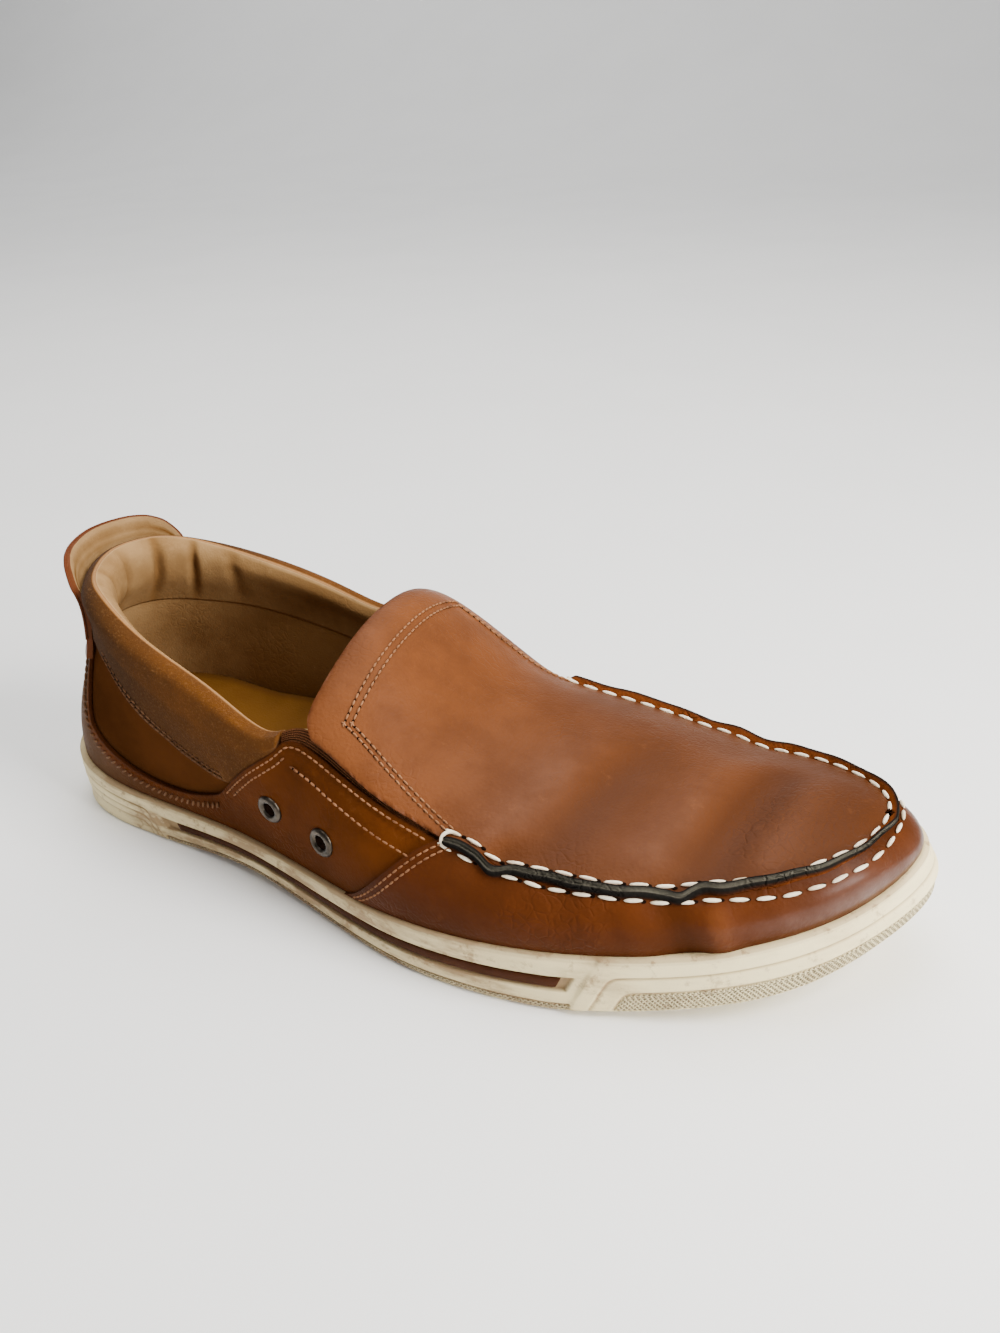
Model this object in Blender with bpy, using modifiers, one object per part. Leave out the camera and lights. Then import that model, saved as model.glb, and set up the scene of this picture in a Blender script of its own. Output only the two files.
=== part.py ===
"""Slip-on moc-toe loafer, right shoe, standing empty on its sole.

Frame: +X to the toe, +Y to the medial (left) side, +Z up, origin on the floor
under the middle of the heel seat. All sizes below are in millimetres.
"""

import math
from collections import namedtuple

import bmesh
import bpy
import numpy as np

MM = 0.001

# ---------------------------------------------------------------- driving sizes
SHELL_WALL = 1.8  # leather and lining of the hollow upper
OVERLAY_WALL = 1.2  # vamp, quarter foxing
APRON_WALL = 1.8
APRON_GAP = 0.45
GORE_WALL = 0.8
GAP = 0.35  # clearance between stacked pieces
OVERLAY_GAP = 0.75  # under the vamp and the foxing
RIM_WALL = 2.6  # thickness of the sole's rim
RIM_GAP = 0.35  # rim to upper
RIM_INSET = 1.2  # the rim stands in from the widest outline
INSOLE_THICK = ((-40.0, 13.5), (10.0, 13.0), (45.0, 13.5), (75.0, 9.0), (110.0, 5.5),
                (150.0, 4.0), (262.0, 3.0))  # wedge under the heel, by x
STRIPE_DEPTH = 1.3  # recess in the side wall
STRIPE_ENDS = (24.0, 172.0)  # x of the inlay's ends
BUMPER_START, HEEL_END, STEP_SLANT = 173.0, 15.0, 9.0  # x of the step ends, slanted
BUMPER_STEP = 0.9  # toe bumper and heel steps stand out this far
PLATFORM = 7.5  # sole under the waist
HEEL_PLATFORM = 12.5
COLLAR_SKIN = 1.6
EYELET_OUTER, EYELET_HOLE, EYELET_HIGH = 4.6, 2.3, 1.3
RIDGE_HALF, RIDGE_HIGH = 1.3, 4.0
EDGE_CLEAR = 2.1  # apron and vamp edges stop this far from the seam line
TAB_WALL, TAB_LEAN, TAB_ROOT = 2.0, 0.2, -20.0
TAB_TURN = 8.0  # the tab leaves the collar's slope over this height
TAB_MEDIAL = 1.13  # reach on the medial side over that on the lateral side

# One row per section round the shoe, heel back first, then the lateral side, the
# toe and the medial side. x y: widest outline. bottom, wall: heights of the sole's
# underside and of its top edge. tx ty tz: top line of the upper. belly: outward
# swell low on the rib. shoulder: rounding below the top line. crown: rise of the
# apron across this section.
Section = namedtuple("Section", "name x y bottom wall tx ty tz belly shoulder crown")
SECTIONS = [Section(*row) for row in (
    ("heel_back", -39, 0, 0.6, 20.5, -17.5, 0, 87, 1, -6, 0),
    ("heel_corner_lateral", -30, -23.5, 0.0, 19, -10, -18.5, 86.5, 0.5, -7.5, 0),
    ("heel_side_lateral", -8, -34, -0.6, 16.5, 2, -29, 84.5, 2, -4, 0),
    ("heel_front_lateral", 18.5, -36.5, -0.2, 15, 21.5, -33.5, 75.5, 3, 1.5, 0),
    ("waist_lateral", 47.5, -39.5, 2.4, 15, 48.5, -37, 66.5, 3, 2.5, 0),
    ("collar_end_lateral", 70, -44, 2.2, 15, 72, -40, 59, 3, 2.5, 0),
    ("flap_corner_lateral", 87.5, -48.5, 1.0, 15, 87.5, -38.5, 63.5, 3, 4, 12.5),
    ("flap_side_lateral", 109.5, -54.5, 0.2, 16, 110.5, -42.5, 52.5, 3, 4, 12.5),
    ("seam_start_lateral", 131, -58, -0.4, 17.5, 132, -45, 42.5, 3, 4, 12.5),
    ("ball_lateral", 161, -57, -0.6, 19.5, 162, -47.5, 37, 3, 5, 11),
    ("forefoot_lateral", 197, -48.5, 3.6, 22.5, 195, -41.5, 37.5, 2.5, 5, 9),
    ("toe_side_lateral", 228, -35, 9.8, 27.5, 220, -29, 40.5, 2.5, 5, 6),
    ("toe_corner_lateral", 248.5, -16.5, 18, 31.5, 238.5, -11.5, 43.5, 2, 5, 3.5),
    ("toe_tip", 259.5, 6, 23.2, 36, 243.5, 7.5, 43.5, 2, 4.5, 0),
    ("toe_corner_medial", 251, 25.5, 19.6, 35, 238.5, 22, 41.5, 2, 2.5, 0),
    ("toe_side_medial", 228, 40.5, 10.8, 29.5, 221, 33.5, 38.5, 2, 2, 0),
    ("forefoot_medial", 198, 50, 3.9, 23.5, 198, 41, 35, 2, 2, 0),
    ("ball_medial", 164, 52.5, -0.6, 20, 164, 46.5, 37, 2.5, 2.5, 0),
    ("seam_start_medial", 129, 49, -0.4, 17.5, 130, 46, 42, 3, 4, 0),
    ("flap_side_medial", 107, 44, 0.6, 16, 108.5, 43, 56.5, 3, 4, 0),
    ("flap_corner_medial", 84.5, 39, 2.1, 15.5, 86.5, 38.5, 70.5, 3, 4, 0),
    ("collar_end_medial", 68, 36.5, 3.1, 15.5, 71, 39, 63, 3, 2.5, 0),
    ("waist_medial", 45.5, 35, 3.1, 15.5, 48.5, 37, 69.5, 3, 2.5, 0),
    ("heel_front_medial", 17.5, 35, -0.2, 16, 21, 34, 77.5, 3, 2, 0),
    ("heel_side_medial", -8, 34.5, -0.6, 16.5, 2, 29.5, 81.5, 2, -3, 0),
    ("heel_corner_medial", -31, 24.5, 0.0, 19, -12, 19.5, 85, 0.5, -6.5, 0),
)]
TURNS = len(SECTIONS)  # the section number u runs 0 .. 26 and closes
TIP = TURNS // 2
FLAP = 6  # section of the flap's rear corners
SEAM = 8.08  # section where the moc seam starts
STEP_STATIONS = (11, 13.5, 16, 19, 171, 174, 177, 180, 183)  # x
STEPS = (4, 4, 3, 2, 3, 3, 2, 3, 3, 3, 4, 5, 4)  # mesh stations between sections

# Upper edge of the quarter foxing, as (section, share of the way up the rib).
FOXING_TOP = ((0.0, 0.58), (1.2, 0.58), (1.45, 0.42), (1.7, 0.25), (2.0, 0.19), (2.3, 0.16),
              (2.6, 0.135), (2.9, 0.12), (3.2, 0.125), (3.5, 0.14), (3.8, 0.19), (4.0, 0.24),
              (4.2, 0.35), (4.45, 0.49), (4.7, 0.64), (5.0, 0.78), (5.5, 0.905),
              (5.75, 0.89), (6.15, 0.86), (6.6, 0.86), (7.2, 0.905), (7.7, 0.955), (8.1, 0.98))
# Lower edge of the collar's outer side panel.
COLLAR_LOW = ((0.0, 0.66), (1.4, 0.66), (1.8, 0.69), (2.3, 0.64), (2.6, 0.58), (2.9, 0.52),
              (3.2, 0.46), (3.5, 0.40), (3.8, 0.37), (4.0, 0.375), (4.2, 0.43), (4.5, 0.60),
              (5.0, 0.85), (5.5, 0.965))
# How far the flap's side edge hangs below the top line.
FLAP_HANG = ((5.8, 0.03), (6.2, 0.04), (6.5, 0.04), (7.0, 0.01), (7.3, 0.0), (13.0, 0.0))
# Pad of the collar, inside the shell.
COLLAR_PAD = ((0.0, 5.5), (2.0, 5.0), (4.0, 3.0), (5.5, 1.6))
# Edge of the pull tab, in mm above the collar's top line.
TAB_EDGE = ((0.0, 8.5), (0.6, 8.3), (0.8, 7.8), (1.0, 5.7), (1.2, 1.0), (1.35, -8.0), (1.5, -18.0))
EYELETS = (("rear", 5.1, 0.38), ("front", 6.3, 0.295))

COLOURS = {
    "rubber_cream": (0.80, 0.74, 0.62),
    "leather_tan": (0.36, 0.13, 0.045),
    "leather_brown": (0.27, 0.09, 0.03),
    "leather_dark": (0.09, 0.03, 0.015),
    "suede_tan": (0.30, 0.15, 0.07),
    "lining_camel": (0.45, 0.26, 0.11),
    "elastic_brown": (0.10, 0.045, 0.02),
    "seam_black": (0.02, 0.02, 0.02),
    "metal_gunmetal": (0.12, 0.11, 0.10),
    "stripe_brown": (0.14, 0.06, 0.03),
}


# ------------------------------------------------------------------- the surface
def closed_slopes(rows):
    """Slopes that make a cubic through the rows smooth all the way round."""
    count = len(rows)
    system = 4 * np.eye(count) + np.roll(np.eye(count), 1, 0) + np.roll(np.eye(count), -1, 0)
    return np.linalg.solve(system, 3 * (np.roll(rows, -1, 0) - np.roll(rows, 1, 0)))


ROWS = np.array([row[1:] for row in SECTIONS], float)
SLOPES = closed_slopes(ROWS)
X, Y, BOTTOM, WALL, TX, TY, TZ, BELLY, SHOULDER, CROWN = range(10)


def section(u):
    """Every column at section number u, by the closed cubic."""
    u = np.asarray(u, float) % TURNS
    i = np.floor(u).astype(int) % TURNS
    t = (u - np.floor(u))[..., None]
    j = (i + 1) % TURNS
    return ((2 * t**3 - 3 * t**2 + 1) * ROWS[i] + (t**3 - 2 * t**2 + t) * SLOPES[i]
            + (-2 * t**3 + 3 * t**2) * ROWS[j] + (t**3 - t**2) * SLOPES[j])


def outward(u):
    """Unit normal of the outline in plan, as 3-D vectors."""
    way = (section(np.asarray(u) + 1e-3) - section(np.asarray(u) - 1e-3))[..., :2]
    way = way / np.linalg.norm(way, axis=-1, keepdims=True)
    return np.stack([way[..., 1], -way[..., 0], 0 * way[..., 0]], -1)


def table(pairs, u):
    """A short table read at section u, the same on both sides of the shoe."""
    u = np.asarray(u, float) % TURNS
    side = np.minimum(u, TURNS - u)
    return np.interp(side, [p[0] for p in pairs], [p[1] for p in pairs])


def taper(c):
    """Inset of the wall's top edge: it leans in round the toe."""
    return RIM_INSET + 3.1 * np.clip((c[..., X] - 212) / 46, 0, 1)


def underside(c):
    return np.maximum(c[..., BOTTOM], 0.0)


def platform(c):
    """Height of the floor of the cup."""
    depth = np.interp(c[..., X], (-40, 0, 45, 100, 160, 215, 262),
                      (HEEL_PLATFORM, HEEL_PLATFORM - 1, PLATFORM, PLATFORM, 9, 8.5, 7.5))
    return underside(c) + depth


def at_wall(u, share, inset):
    """Point of the sole's side at a share of its height, moved in from the outline."""
    c = section(u)
    low = underside(c)
    p = np.stack([c[..., X], c[..., Y], low + (c[..., WALL] - low) * share], -1)
    return p - outward(u) * np.asarray(inset)[..., None]


def rib(u, d):
    """The upper's outer face: section u, share d of the way from sole to top line."""
    u, d = np.broadcast_arrays(np.asarray(u, float), np.asarray(d, float))
    c, n = section(u), outward(u)
    low = np.stack([c[..., X], c[..., Y], c[..., WALL] + 0.2], -1)
    low = low - n * (taper(c) + RIM_WALL + RIM_GAP)[..., None]
    top = c[..., TX:TZ + 1]
    rise = np.zeros_like(low)
    rise[..., 2] = (top - low)[..., 2]
    one = low + rise * 0.40 + n * c[..., BELLY, None]
    two = top + n * c[..., SHOULDER, None] - rise * 0.22
    d = d[..., None]
    return (1 - d)**3 * low + 3 * (1 - d)**2 * d * one + 3 * (1 - d) * d**2 * two + d**3 * top


def rib_normal(u, d):
    """Outward normal of the rib surface."""
    u, d = np.broadcast_arrays(np.asarray(u, float), np.asarray(d, float))
    e = 1e-3
    along = rib(u + e, d) - rib(u - e, d)
    up = rib(u, np.minimum(d + e, 1)) - rib(u, d - e)
    n = np.cross(along, up)
    return n / np.linalg.norm(n, axis=-1, keepdims=True)


def rib_at_height(u, z):
    """Share d at which the rib reaches height z."""
    d = np.linspace(0, 0.6, 121)
    return np.array([np.interp(zz, rib(uu, d)[:, 2], d)
                     for uu, zz in zip(np.ravel(u), np.ravel(z))]).reshape(np.shape(u))


def below_top(u, length):
    """Share d that lies this length below the top line."""
    step = np.linalg.norm(rib(u, 1.0 + 0 * np.asarray(u)) - rib(u, 0.98 + 0 * np.asarray(u)), axis=-1)
    return 1 - 0.02 * length / step


def crown(u, v):
    """The apron's face: section u on the lateral side, v across to the medial side."""
    u, v = np.broadcast_arrays(np.asarray(u, float), np.asarray(v, float))
    a, b = section(u)[..., TX:TZ + 1], section(TURNS - u)[..., TX:TZ + 1]
    p = a * (1 - v[..., None]) + b * v[..., None]
    p[..., 2] += section(u)[..., CROWN] * (1 - np.abs(2 * v - 1)**2.2)
    return p


def crown_normal(u, v):
    u, v = np.broadcast_arrays(np.asarray(u, float), np.asarray(v, float))
    e = 1e-3
    along = crown(np.minimum(u + e, TIP), v) - crown(u - e, v)
    across = crown(u, np.minimum(v + e, 1)) - crown(u, np.maximum(v - e, 0))
    n = np.cross(along, across)
    return n / np.linalg.norm(n, axis=-1, keepdims=True)


def ridge_normal(u):
    """Normal on the top line, half way between rib and apron."""
    u = np.asarray(u, float)
    side = np.where(u <= TIP, u, TURNS - u)
    v = np.where(u <= TIP, 0.0, 1.0)
    inner = crown_normal(np.minimum(side, TIP - 0.15), v)
    n = rib_normal(u, 0.999) + inner
    return n / np.linalg.norm(n, axis=-1, keepdims=True)


def half_stations():
    u = [0.0]
    for i, count in enumerate(STEPS):
        u += [i + (k + 1) / count for k in range(count)]
    return np.array(u)


HALF = half_stations()
RING = np.concatenate([HALF, TURNS - HALF[-2:0:-1]])  # all stations, once round


# --------------------------------------------------------------- meshes, objects
def material(name):
    found = bpy.data.materials.get(name)
    if found:
        return found
    made = bpy.data.materials.new(name)
    made.use_nodes = True
    shader = made.node_tree.nodes["Principled BSDF"]
    shader.inputs["Base Color"].default_value = (*COLOURS[name], 1)
    shader.inputs["Roughness"].default_value = 0.35 if "metal" in name else 0.55
    shader.inputs["Metallic"].default_value = 1.0 if "metal" in name else 0.0
    made.diffuse_color = (*COLOURS[name], 1)
    return made


def new_object(name, slot, points, faces):
    mesh = bpy.data.meshes.new(name)
    mesh.from_pydata([tuple(p) for p in np.asarray(points) * MM], [], faces)
    mesh.validate()
    shape = bmesh.new()
    shape.from_mesh(mesh)
    bmesh.ops.recalc_face_normals(shape, faces=shape.faces)
    shape.to_mesh(mesh)
    shape.free()
    mesh.materials.append(material(slot))
    made = bpy.data.objects.new(name, mesh)
    SHOE.objects.link(made)
    return made


def grid_faces(rows, columns, first=0, wrap=False):
    """Quads of a grid of points, row by row; wrap joins the last row to the first."""
    faces = []
    for i in range(rows if wrap else rows - 1):
        j = (i + 1) % rows
        for k in range(columns - 1):
            a, b = first + i * columns + k, first + j * columns + k
            faces.append((a, b, b + 1, a + 1))
    return faces


def thicken(obj, wall, outside):
    """Solidify: outwards for overlays, inwards for the hollow shell."""
    made = obj.modifiers.new("wall", "SOLIDIFY")
    made.thickness = wall * MM
    made.offset = 1.0 if outside else -1.0
    made.use_rim = True
    made.use_even_offset = False
    return made


def face_out(obj, centre):
    """Turns an open sheet's faces away from the centre line of the shoe."""
    mesh = obj.data
    score = 0.0
    for face in mesh.polygons:
        middle = np.array(face.center) / MM
        away = middle - np.array([np.clip(middle[0], *centre[:2]), centre[2], centre[3]])
        score += face.area * float(np.dot(away, np.array(face.normal)))
    if score < 0:
        mesh.flip_normals()


def sheet(name, slot, points, wall, outside=True, centre=(-20, 230, 0, 25)):
    """A patch of leather: an open grid of points given a wall by Solidify."""
    rows, columns = points.shape[:2]
    made = new_object(name, slot, points.reshape(-1, 3), grid_faces(rows, columns))
    face_out(made, centre)
    thicken(made, wall, outside)
    return made


def tube(name, slot, loops, closed):
    """A solid swept from loops of points (stations x points), capped unless closed."""
    rows, columns = loops.shape[:2]
    faces = []
    for i in range(rows if closed else rows - 1):
        j = (i + 1) % rows
        for k in range(columns):
            m = (k + 1) % columns
            faces.append((i * columns + k, j * columns + k, j * columns + m, i * columns + m))
    if not closed:
        faces.append(tuple(range(columns)))
        faces.append(tuple((rows - 1) * columns + k for k in reversed(range(columns))))
    return new_object(name, slot, loops.reshape(-1, 3), faces)


def ring_cap(count, offset, ring, flip):
    """Cross quads that close a ring of stations from side to side."""
    half = count // 2
    index = [offset + k * ring for k in range(count)]
    faces = [(index[0], index[1], index[-1])]
    for k in range(1, half - 1):
        faces.append((index[k], index[k + 1], index[count - k - 1], index[count - k]))
    faces.append((index[half - 1], index[half], index[half + 1]))
    return [tuple(reversed(f)) for f in faces] if flip else faces


# ------------------------------------------------------------------- the pieces
def smooth_step(x, low, high):
    t = np.clip((x - low) / (high - low), 0, 1)
    return t * t * (3 - 2 * t)


def section_at(x, low, high):
    """Section numbers between low and high where the outline passes each x."""
    u = np.linspace(low, high, 400)
    line = section(u)[:, X]
    order = np.argsort(line)
    return np.interp(x, line[order], u[order])


def sole_ring():
    """Stations of the sole: the shared ones and more at its step ends."""
    lateral = section_at(STEP_STATIONS, 2.2, 11)
    medial = section_at(STEP_STATIONS, TURNS - 11, TURNS - 2.2)
    return np.unique(np.round(np.concatenate([RING, lateral, medial]), 4))


def build_outsole():
    """Cup: underside, stepped side wall with its recess, rim, inner wall, platform."""
    ring = sole_ring()
    ring = ring if len(ring) % 2 == 0 else ring[:-1]
    c = section(ring)
    x, top = c[:, X], taper(c)
    lean = top - RIM_INSET

    def steps(share):
        start, end = BUMPER_START + STEP_SLANT * share, HEEL_END - STEP_SLANT * (share - 0.5)
        return np.maximum(smooth_step(x, start, start + 2.5), 1 - smooth_step(x, end - 2.5, end))

    def recess(share):
        start, end = BUMPER_START + STEP_SLANT * share - 4, HEEL_END - STEP_SLANT * (share - 0.5) + 4
        return STRIPE_DEPTH * smooth_step(x, end - 2, end) * (1 - smooth_step(x, start, start + 2))

    levels = [
        (0.00, 2.4 - 0.5 * steps(0)), (0.08, 0.9 - BUMPER_STEP * steps(0.1)),
        (0.33, 0.5 - BUMPER_STEP * steps(0.33)), (0.37, 0.5 - 0.4 * steps(0.37)),
        (0.40, 0.6 + recess(0.45) - 0.2 * steps(0.40)), (0.63, 0.6 + recess(0.55) + 0.4 * lean),
        (0.66, 0.5 + 0.5 * lean), (0.92, top - 0.4), (1.00, top)]
    loops = [at_wall(ring, np.full(len(ring), share), inset) for share, inset in levels]
    rim_in = at_wall(ring, np.ones(len(ring)), top + RIM_WALL)
    foot = rim_in.copy()
    foot[:, 2] = platform(c)
    points = np.stack(loops + [rim_in, foot], 1)
    count, high = points.shape[:2]
    faces = grid_faces(count, high, wrap=True)
    faces += ring_cap(count, 0, high, False) + ring_cap(count, high - 1, high, True)
    return new_object("outsole", "rubber_cream", points.reshape(-1, 3), faces)


def build_stripe(side):
    """Inlay in the recess of the side wall."""
    ends = np.linspace(STRIPE_ENDS[0], STRIPE_ENDS[1], 25)
    u = section_at(ends, 2.2, 11) if side == "lateral" else section_at(ends, TURNS - 11, TURNS - 2.2)
    c = section(u)
    lean = 0.3 * (taper(c) - RIM_INSET)
    back, face = 0.6 + STRIPE_DEPTH - GAP + lean * 0.5, 0.75 + lean * 0.5
    corners = [(0.44, back), (0.59, back), (0.59, face), (0.44, face)]
    loops = np.stack([at_wall(u, np.full(len(u), s), i + 0 * u) for s, i in corners], 1)
    return tube("sole_stripe_" + side, "stripe_brown", loops, closed=False)


def build_insole():
    """Footbed on the platform, a little inside the upper's wall."""
    c = section(RING)
    inset = taper(c) + RIM_WALL + RIM_GAP + SHELL_WALL + 0.6
    low = at_wall(RING, np.ones(len(RING)), inset)
    low[:, 2] = platform(c) + GAP
    high = low.copy()
    high[:, 2] += np.interp(low[:, 0], *zip(*INSOLE_THICK))
    points = np.stack([low, high], 1)
    count = len(RING)
    faces = grid_faces(count, 2, wrap=True)
    faces += ring_cap(count, 0, 2, False) + ring_cap(count, 1, 2, True)
    return new_object("insole", "lining_camel", points.reshape(-1, 3), faces)


def build_upper():
    """Hollow shell: ribs all round, joined across the forefoot from the throat on."""
    c = section(RING)
    foot = at_wall(RING, np.ones(len(RING)), taper(c) + RIM_WALL + RIM_GAP)
    foot[:, 2] = platform(c) + GAP
    side = np.minimum(RING, TURNS - RING)
    end = np.interp(side, (5.34, FLAP), (0.95, 1.0))
    shares = np.array((0.0, 0.14, 0.30, 0.47, 0.64, 0.82, 1.0))
    ribs = rib(RING[:, None], shares[None, :] * end[:, None])
    points = np.concatenate([foot[:, None], ribs], 1)
    count, levels = points.shape[:2]
    vertices = list(points.reshape(-1, 3))
    faces = grid_faces(count, levels, wrap=True)
    first, tip = int(np.argmin(abs(HALF - FLAP))), len(HALF) - 1
    across = np.linspace(0, 1, 6)[1:-1]
    rows = []
    for k in range(first, tip):
        start = len(vertices)
        vertices += list(crown(HALF[k] + 0 * across, across))
        rows.append([k * levels + levels - 1] + list(range(start, start + len(across)))
                    + [(count - k) * levels + levels - 1])
    for one, two in zip(rows, rows[1:]):
        for k in range(len(one) - 1):
            faces.append((one[k], one[k + 1], two[k + 1], two[k]))
    nose = tip * levels + levels - 1
    faces += [(rows[-1][k], rows[-1][k + 1], nose) for k in range(len(rows[-1]) - 1)]
    made = new_object("upper", "leather_dark", vertices, faces)
    face_out(made, (-20, 230, 0, 25))
    thicken(made, SHELL_WALL, outside=False)
    return made


def vamp_rear(d):
    """Section number of the vamp's rear edge at share d."""
    return 6.5 + 1.55 * np.asarray(d, float)**0.6


def rim_share(u):
    """Share of the rib just above the sole's rim."""
    return rib_at_height(u, section(u)[..., WALL] + 1.4)


def build_vamp():
    """U-shaped overlay from one slanted rear edge round the toe to the other."""
    shares = np.linspace(0, 1, 6)
    start = int(np.searchsorted(HALF, 8.3))
    lateral = HALF[start:]
    full = np.concatenate([lateral, TURNS - lateral[-2::-1]])

    def column(u):
        low, high = rim_share(u), below_top(u, EDGE_CLEAR + 0.6)
        return u, low + (high - low) * shares

    rear = []
    low, high = rim_share(np.array(6.8)), below_top(np.array(8.2), EDGE_CLEAR + 0.6)
    edge_d = low + (high - low) * shares
    edge_u = vamp_rear(edge_d)
    for j in range(4):
        target_u, target_d = column(np.array(full[0]))
        rear.append((edge_u + (target_u - edge_u) * j / 4, edge_d + (target_d - edge_d) * j / 4))
    us = [r[0] for r in rear] + [u + 0 * shares for u in full] + [TURNS - r[0] for r in reversed(rear)]
    ds = [r[1] for r in rear] + [column(np.array(u))[1] for u in full] + [r[1] for r in reversed(rear)]
    us, ds = np.array(us), np.array(ds)
    return sheet("vamp", "leather_brown", rib(us, ds) + rib_normal(us, ds) * OVERLAY_GAP, OVERLAY_WALL)


def build_foxing():
    """Quarters, rand and backstay in one overlay round the heel."""
    shares = np.linspace(0, 1, 5)
    side = HALF[HALF <= 6.4]
    side = np.unique(np.concatenate([side, (5.5, 5.85)]))
    low, high = rim_share(side), table(FOXING_TOP, side)
    us = [u + 0 * shares for u in side]
    ds = [a + (b - a) * shares for a, b in zip(low, high)]
    edge_low, edge_high = float(rim_share(np.array(6.8))), 0.93
    edge_d = edge_low + (edge_high - edge_low) * shares
    edge_u = vamp_rear(edge_d) - 0.03
    for j in (0.25, 0.5, 0.75, 1.0):
        u = side[-1] + (edge_u - side[-1]) * j
        top, base = float(table(FOXING_TOP, u[-1])), float(rim_share(u[0]))
        us.append(u)
        ds.append(base + (min(top, edge_high) - base) * shares)
    us = us[::-1] + [TURNS - u for u in us[1:]]
    ds = ds[::-1] + ds[1:]
    us, ds = np.array(us), np.array(ds)
    points = rib(us, ds) + rib_normal(us, ds) * OVERLAY_GAP
    return sheet("quarter_foxing", "leather_brown", points, OVERLAY_WALL)


def seam_clear(u):
    """Share in from the side at which the apron stands clear of the seam line."""
    line = section(np.linspace(7.5, TURNS - 7.5, 400))[:, TX:TZ + 1]
    shares = np.linspace(0.01, 0.5, 99)
    far = np.linalg.norm(crown(u, shares)[:, None] - line[None], axis=-1).min(1) > EDGE_CLEAR
    return shares[np.argmax(far)] if far.any() else 0.5


def build_apron():
    """Plug and flap: one panel over the forefoot, its rear edge free over the instep."""
    us = np.concatenate([HALF[(HALF >= FLAP) & (HALF < 12.3)], [12.42]])
    across = np.array((0, 0.035, 1 / 6, 1 / 3, 0.5, 2 / 3, 5 / 6, 0.965, 1))
    rows = []
    for u in us:
        hang = float(table(FLAP_HANG, u))
        if hang > 0.004:
            panel = crown(u, across[1:-1]) + crown_normal(u, across[1:-1]) * APRON_GAP
            fold = [section(w)[TX:TZ + 1] + ridge_normal(w) * APRON_GAP * 1.25 for w in (u, TURNS - u)]
            ends = [rib(w, 1 - hang) + rib_normal(w, 1 - hang) * APRON_GAP for w in (u, TURNS - u)]
            panel[0], panel[-1] = fold
            rows.append(np.concatenate([ends[:1], panel, ends[1:]]))
        else:
            inset = seam_clear(u)
            v = inset + (1 - 2 * inset) * across
            rows.append(crown(u, v) + crown_normal(u, v) * APRON_GAP)
    return sheet("apron", "leather_tan", np.array(rows), APRON_WALL, centre=(60, 230, 0, 10))


def build_gore(side):
    """Ribbed elastic between the quarter's top edge and the flap."""
    us = np.linspace(5.75, 6.95, 8)
    low = table(FOXING_TOP, us) + 0.035
    high = np.maximum(1 - table(FLAP_HANG, us) - 0.025, low + 0.02)
    d = low[:, None] + (high - low)[:, None] * np.linspace(0, 1, 3)
    u = np.broadcast_to(us[:, None], d.shape)
    if side == "medial":
        u = TURNS - u
    return sheet("gore_" + side, "elastic_brown", rib(u, d) + rib_normal(u, d) * GAP, GORE_WALL)


def build_collar():
    """Padded roll over the shell's top edge, with its suede side panels."""
    side = HALF[HALF <= 5.4]
    us = np.concatenate([side[::-1], TURNS - side[1:]])
    low, pad = table(COLLAR_LOW, us), table(COLLAR_PAD, us)
    rise = np.interp(pad, (1.6, 5.5), (2.4, 4.4))
    mid = (low + 0.95) / 2
    inner = 0.62 + 0 * us
    skin = COLLAR_SKIN
    top = rib(us, 0.95 + 0 * us)
    n = rib_normal(us, 0.95 + 0 * us)
    way = rib(us, 0.96 + 0 * us) - rib(us, 0.93 + 0 * us)
    way /= np.linalg.norm(way, axis=-1, keepdims=True)

    def on(d, lift):
        return rib(us, d) + rib_normal(us, d) * np.asarray(lift)[..., None]

    def over(up, lift):
        return top + way * np.asarray(up)[..., None] + n * np.asarray(lift)[..., None]

    wall = SHELL_WALL + GAP + 0.25
    full = wall + pad
    loops = [
        on(low, GAP + skin + 0.3 + 0 * us), on(mid, GAP + skin + 0.5 + 0 * us),
        over(0.3 + 0 * us, GAP + skin + 0.2 + 0 * us), over(rise * 0.85, 0.9 - 0.1 * pad),
        over(rise, -0.5 * full), over(rise * 0.7, -0.9 * full),
        over(-2.0 + 0 * us, -full - 0.6), on(inner + 0.12, -full), on(inner, -wall - 0.5 * pad),
        on(inner, -wall + 0 * us), on(0.7 + 0 * us, -wall + 0 * us), on(0.78 + 0 * us, -wall + 0 * us),
        on(0.86 + 0 * us, -wall + 0 * us), on(0.93 + 0 * us, -wall + 0 * us),
        over(0.6 + 0 * us, -wall + 0.2 + 0 * us),
        over(0.6 + 0 * us, GAP + 0.15 + 0 * us), on(mid, GAP + 0.5 + 0 * us), on(low, GAP + 0.3 + 0 * us)]
    return tube("collar", "suede_tan", np.stack(loops, 1), closed=False)


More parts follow.
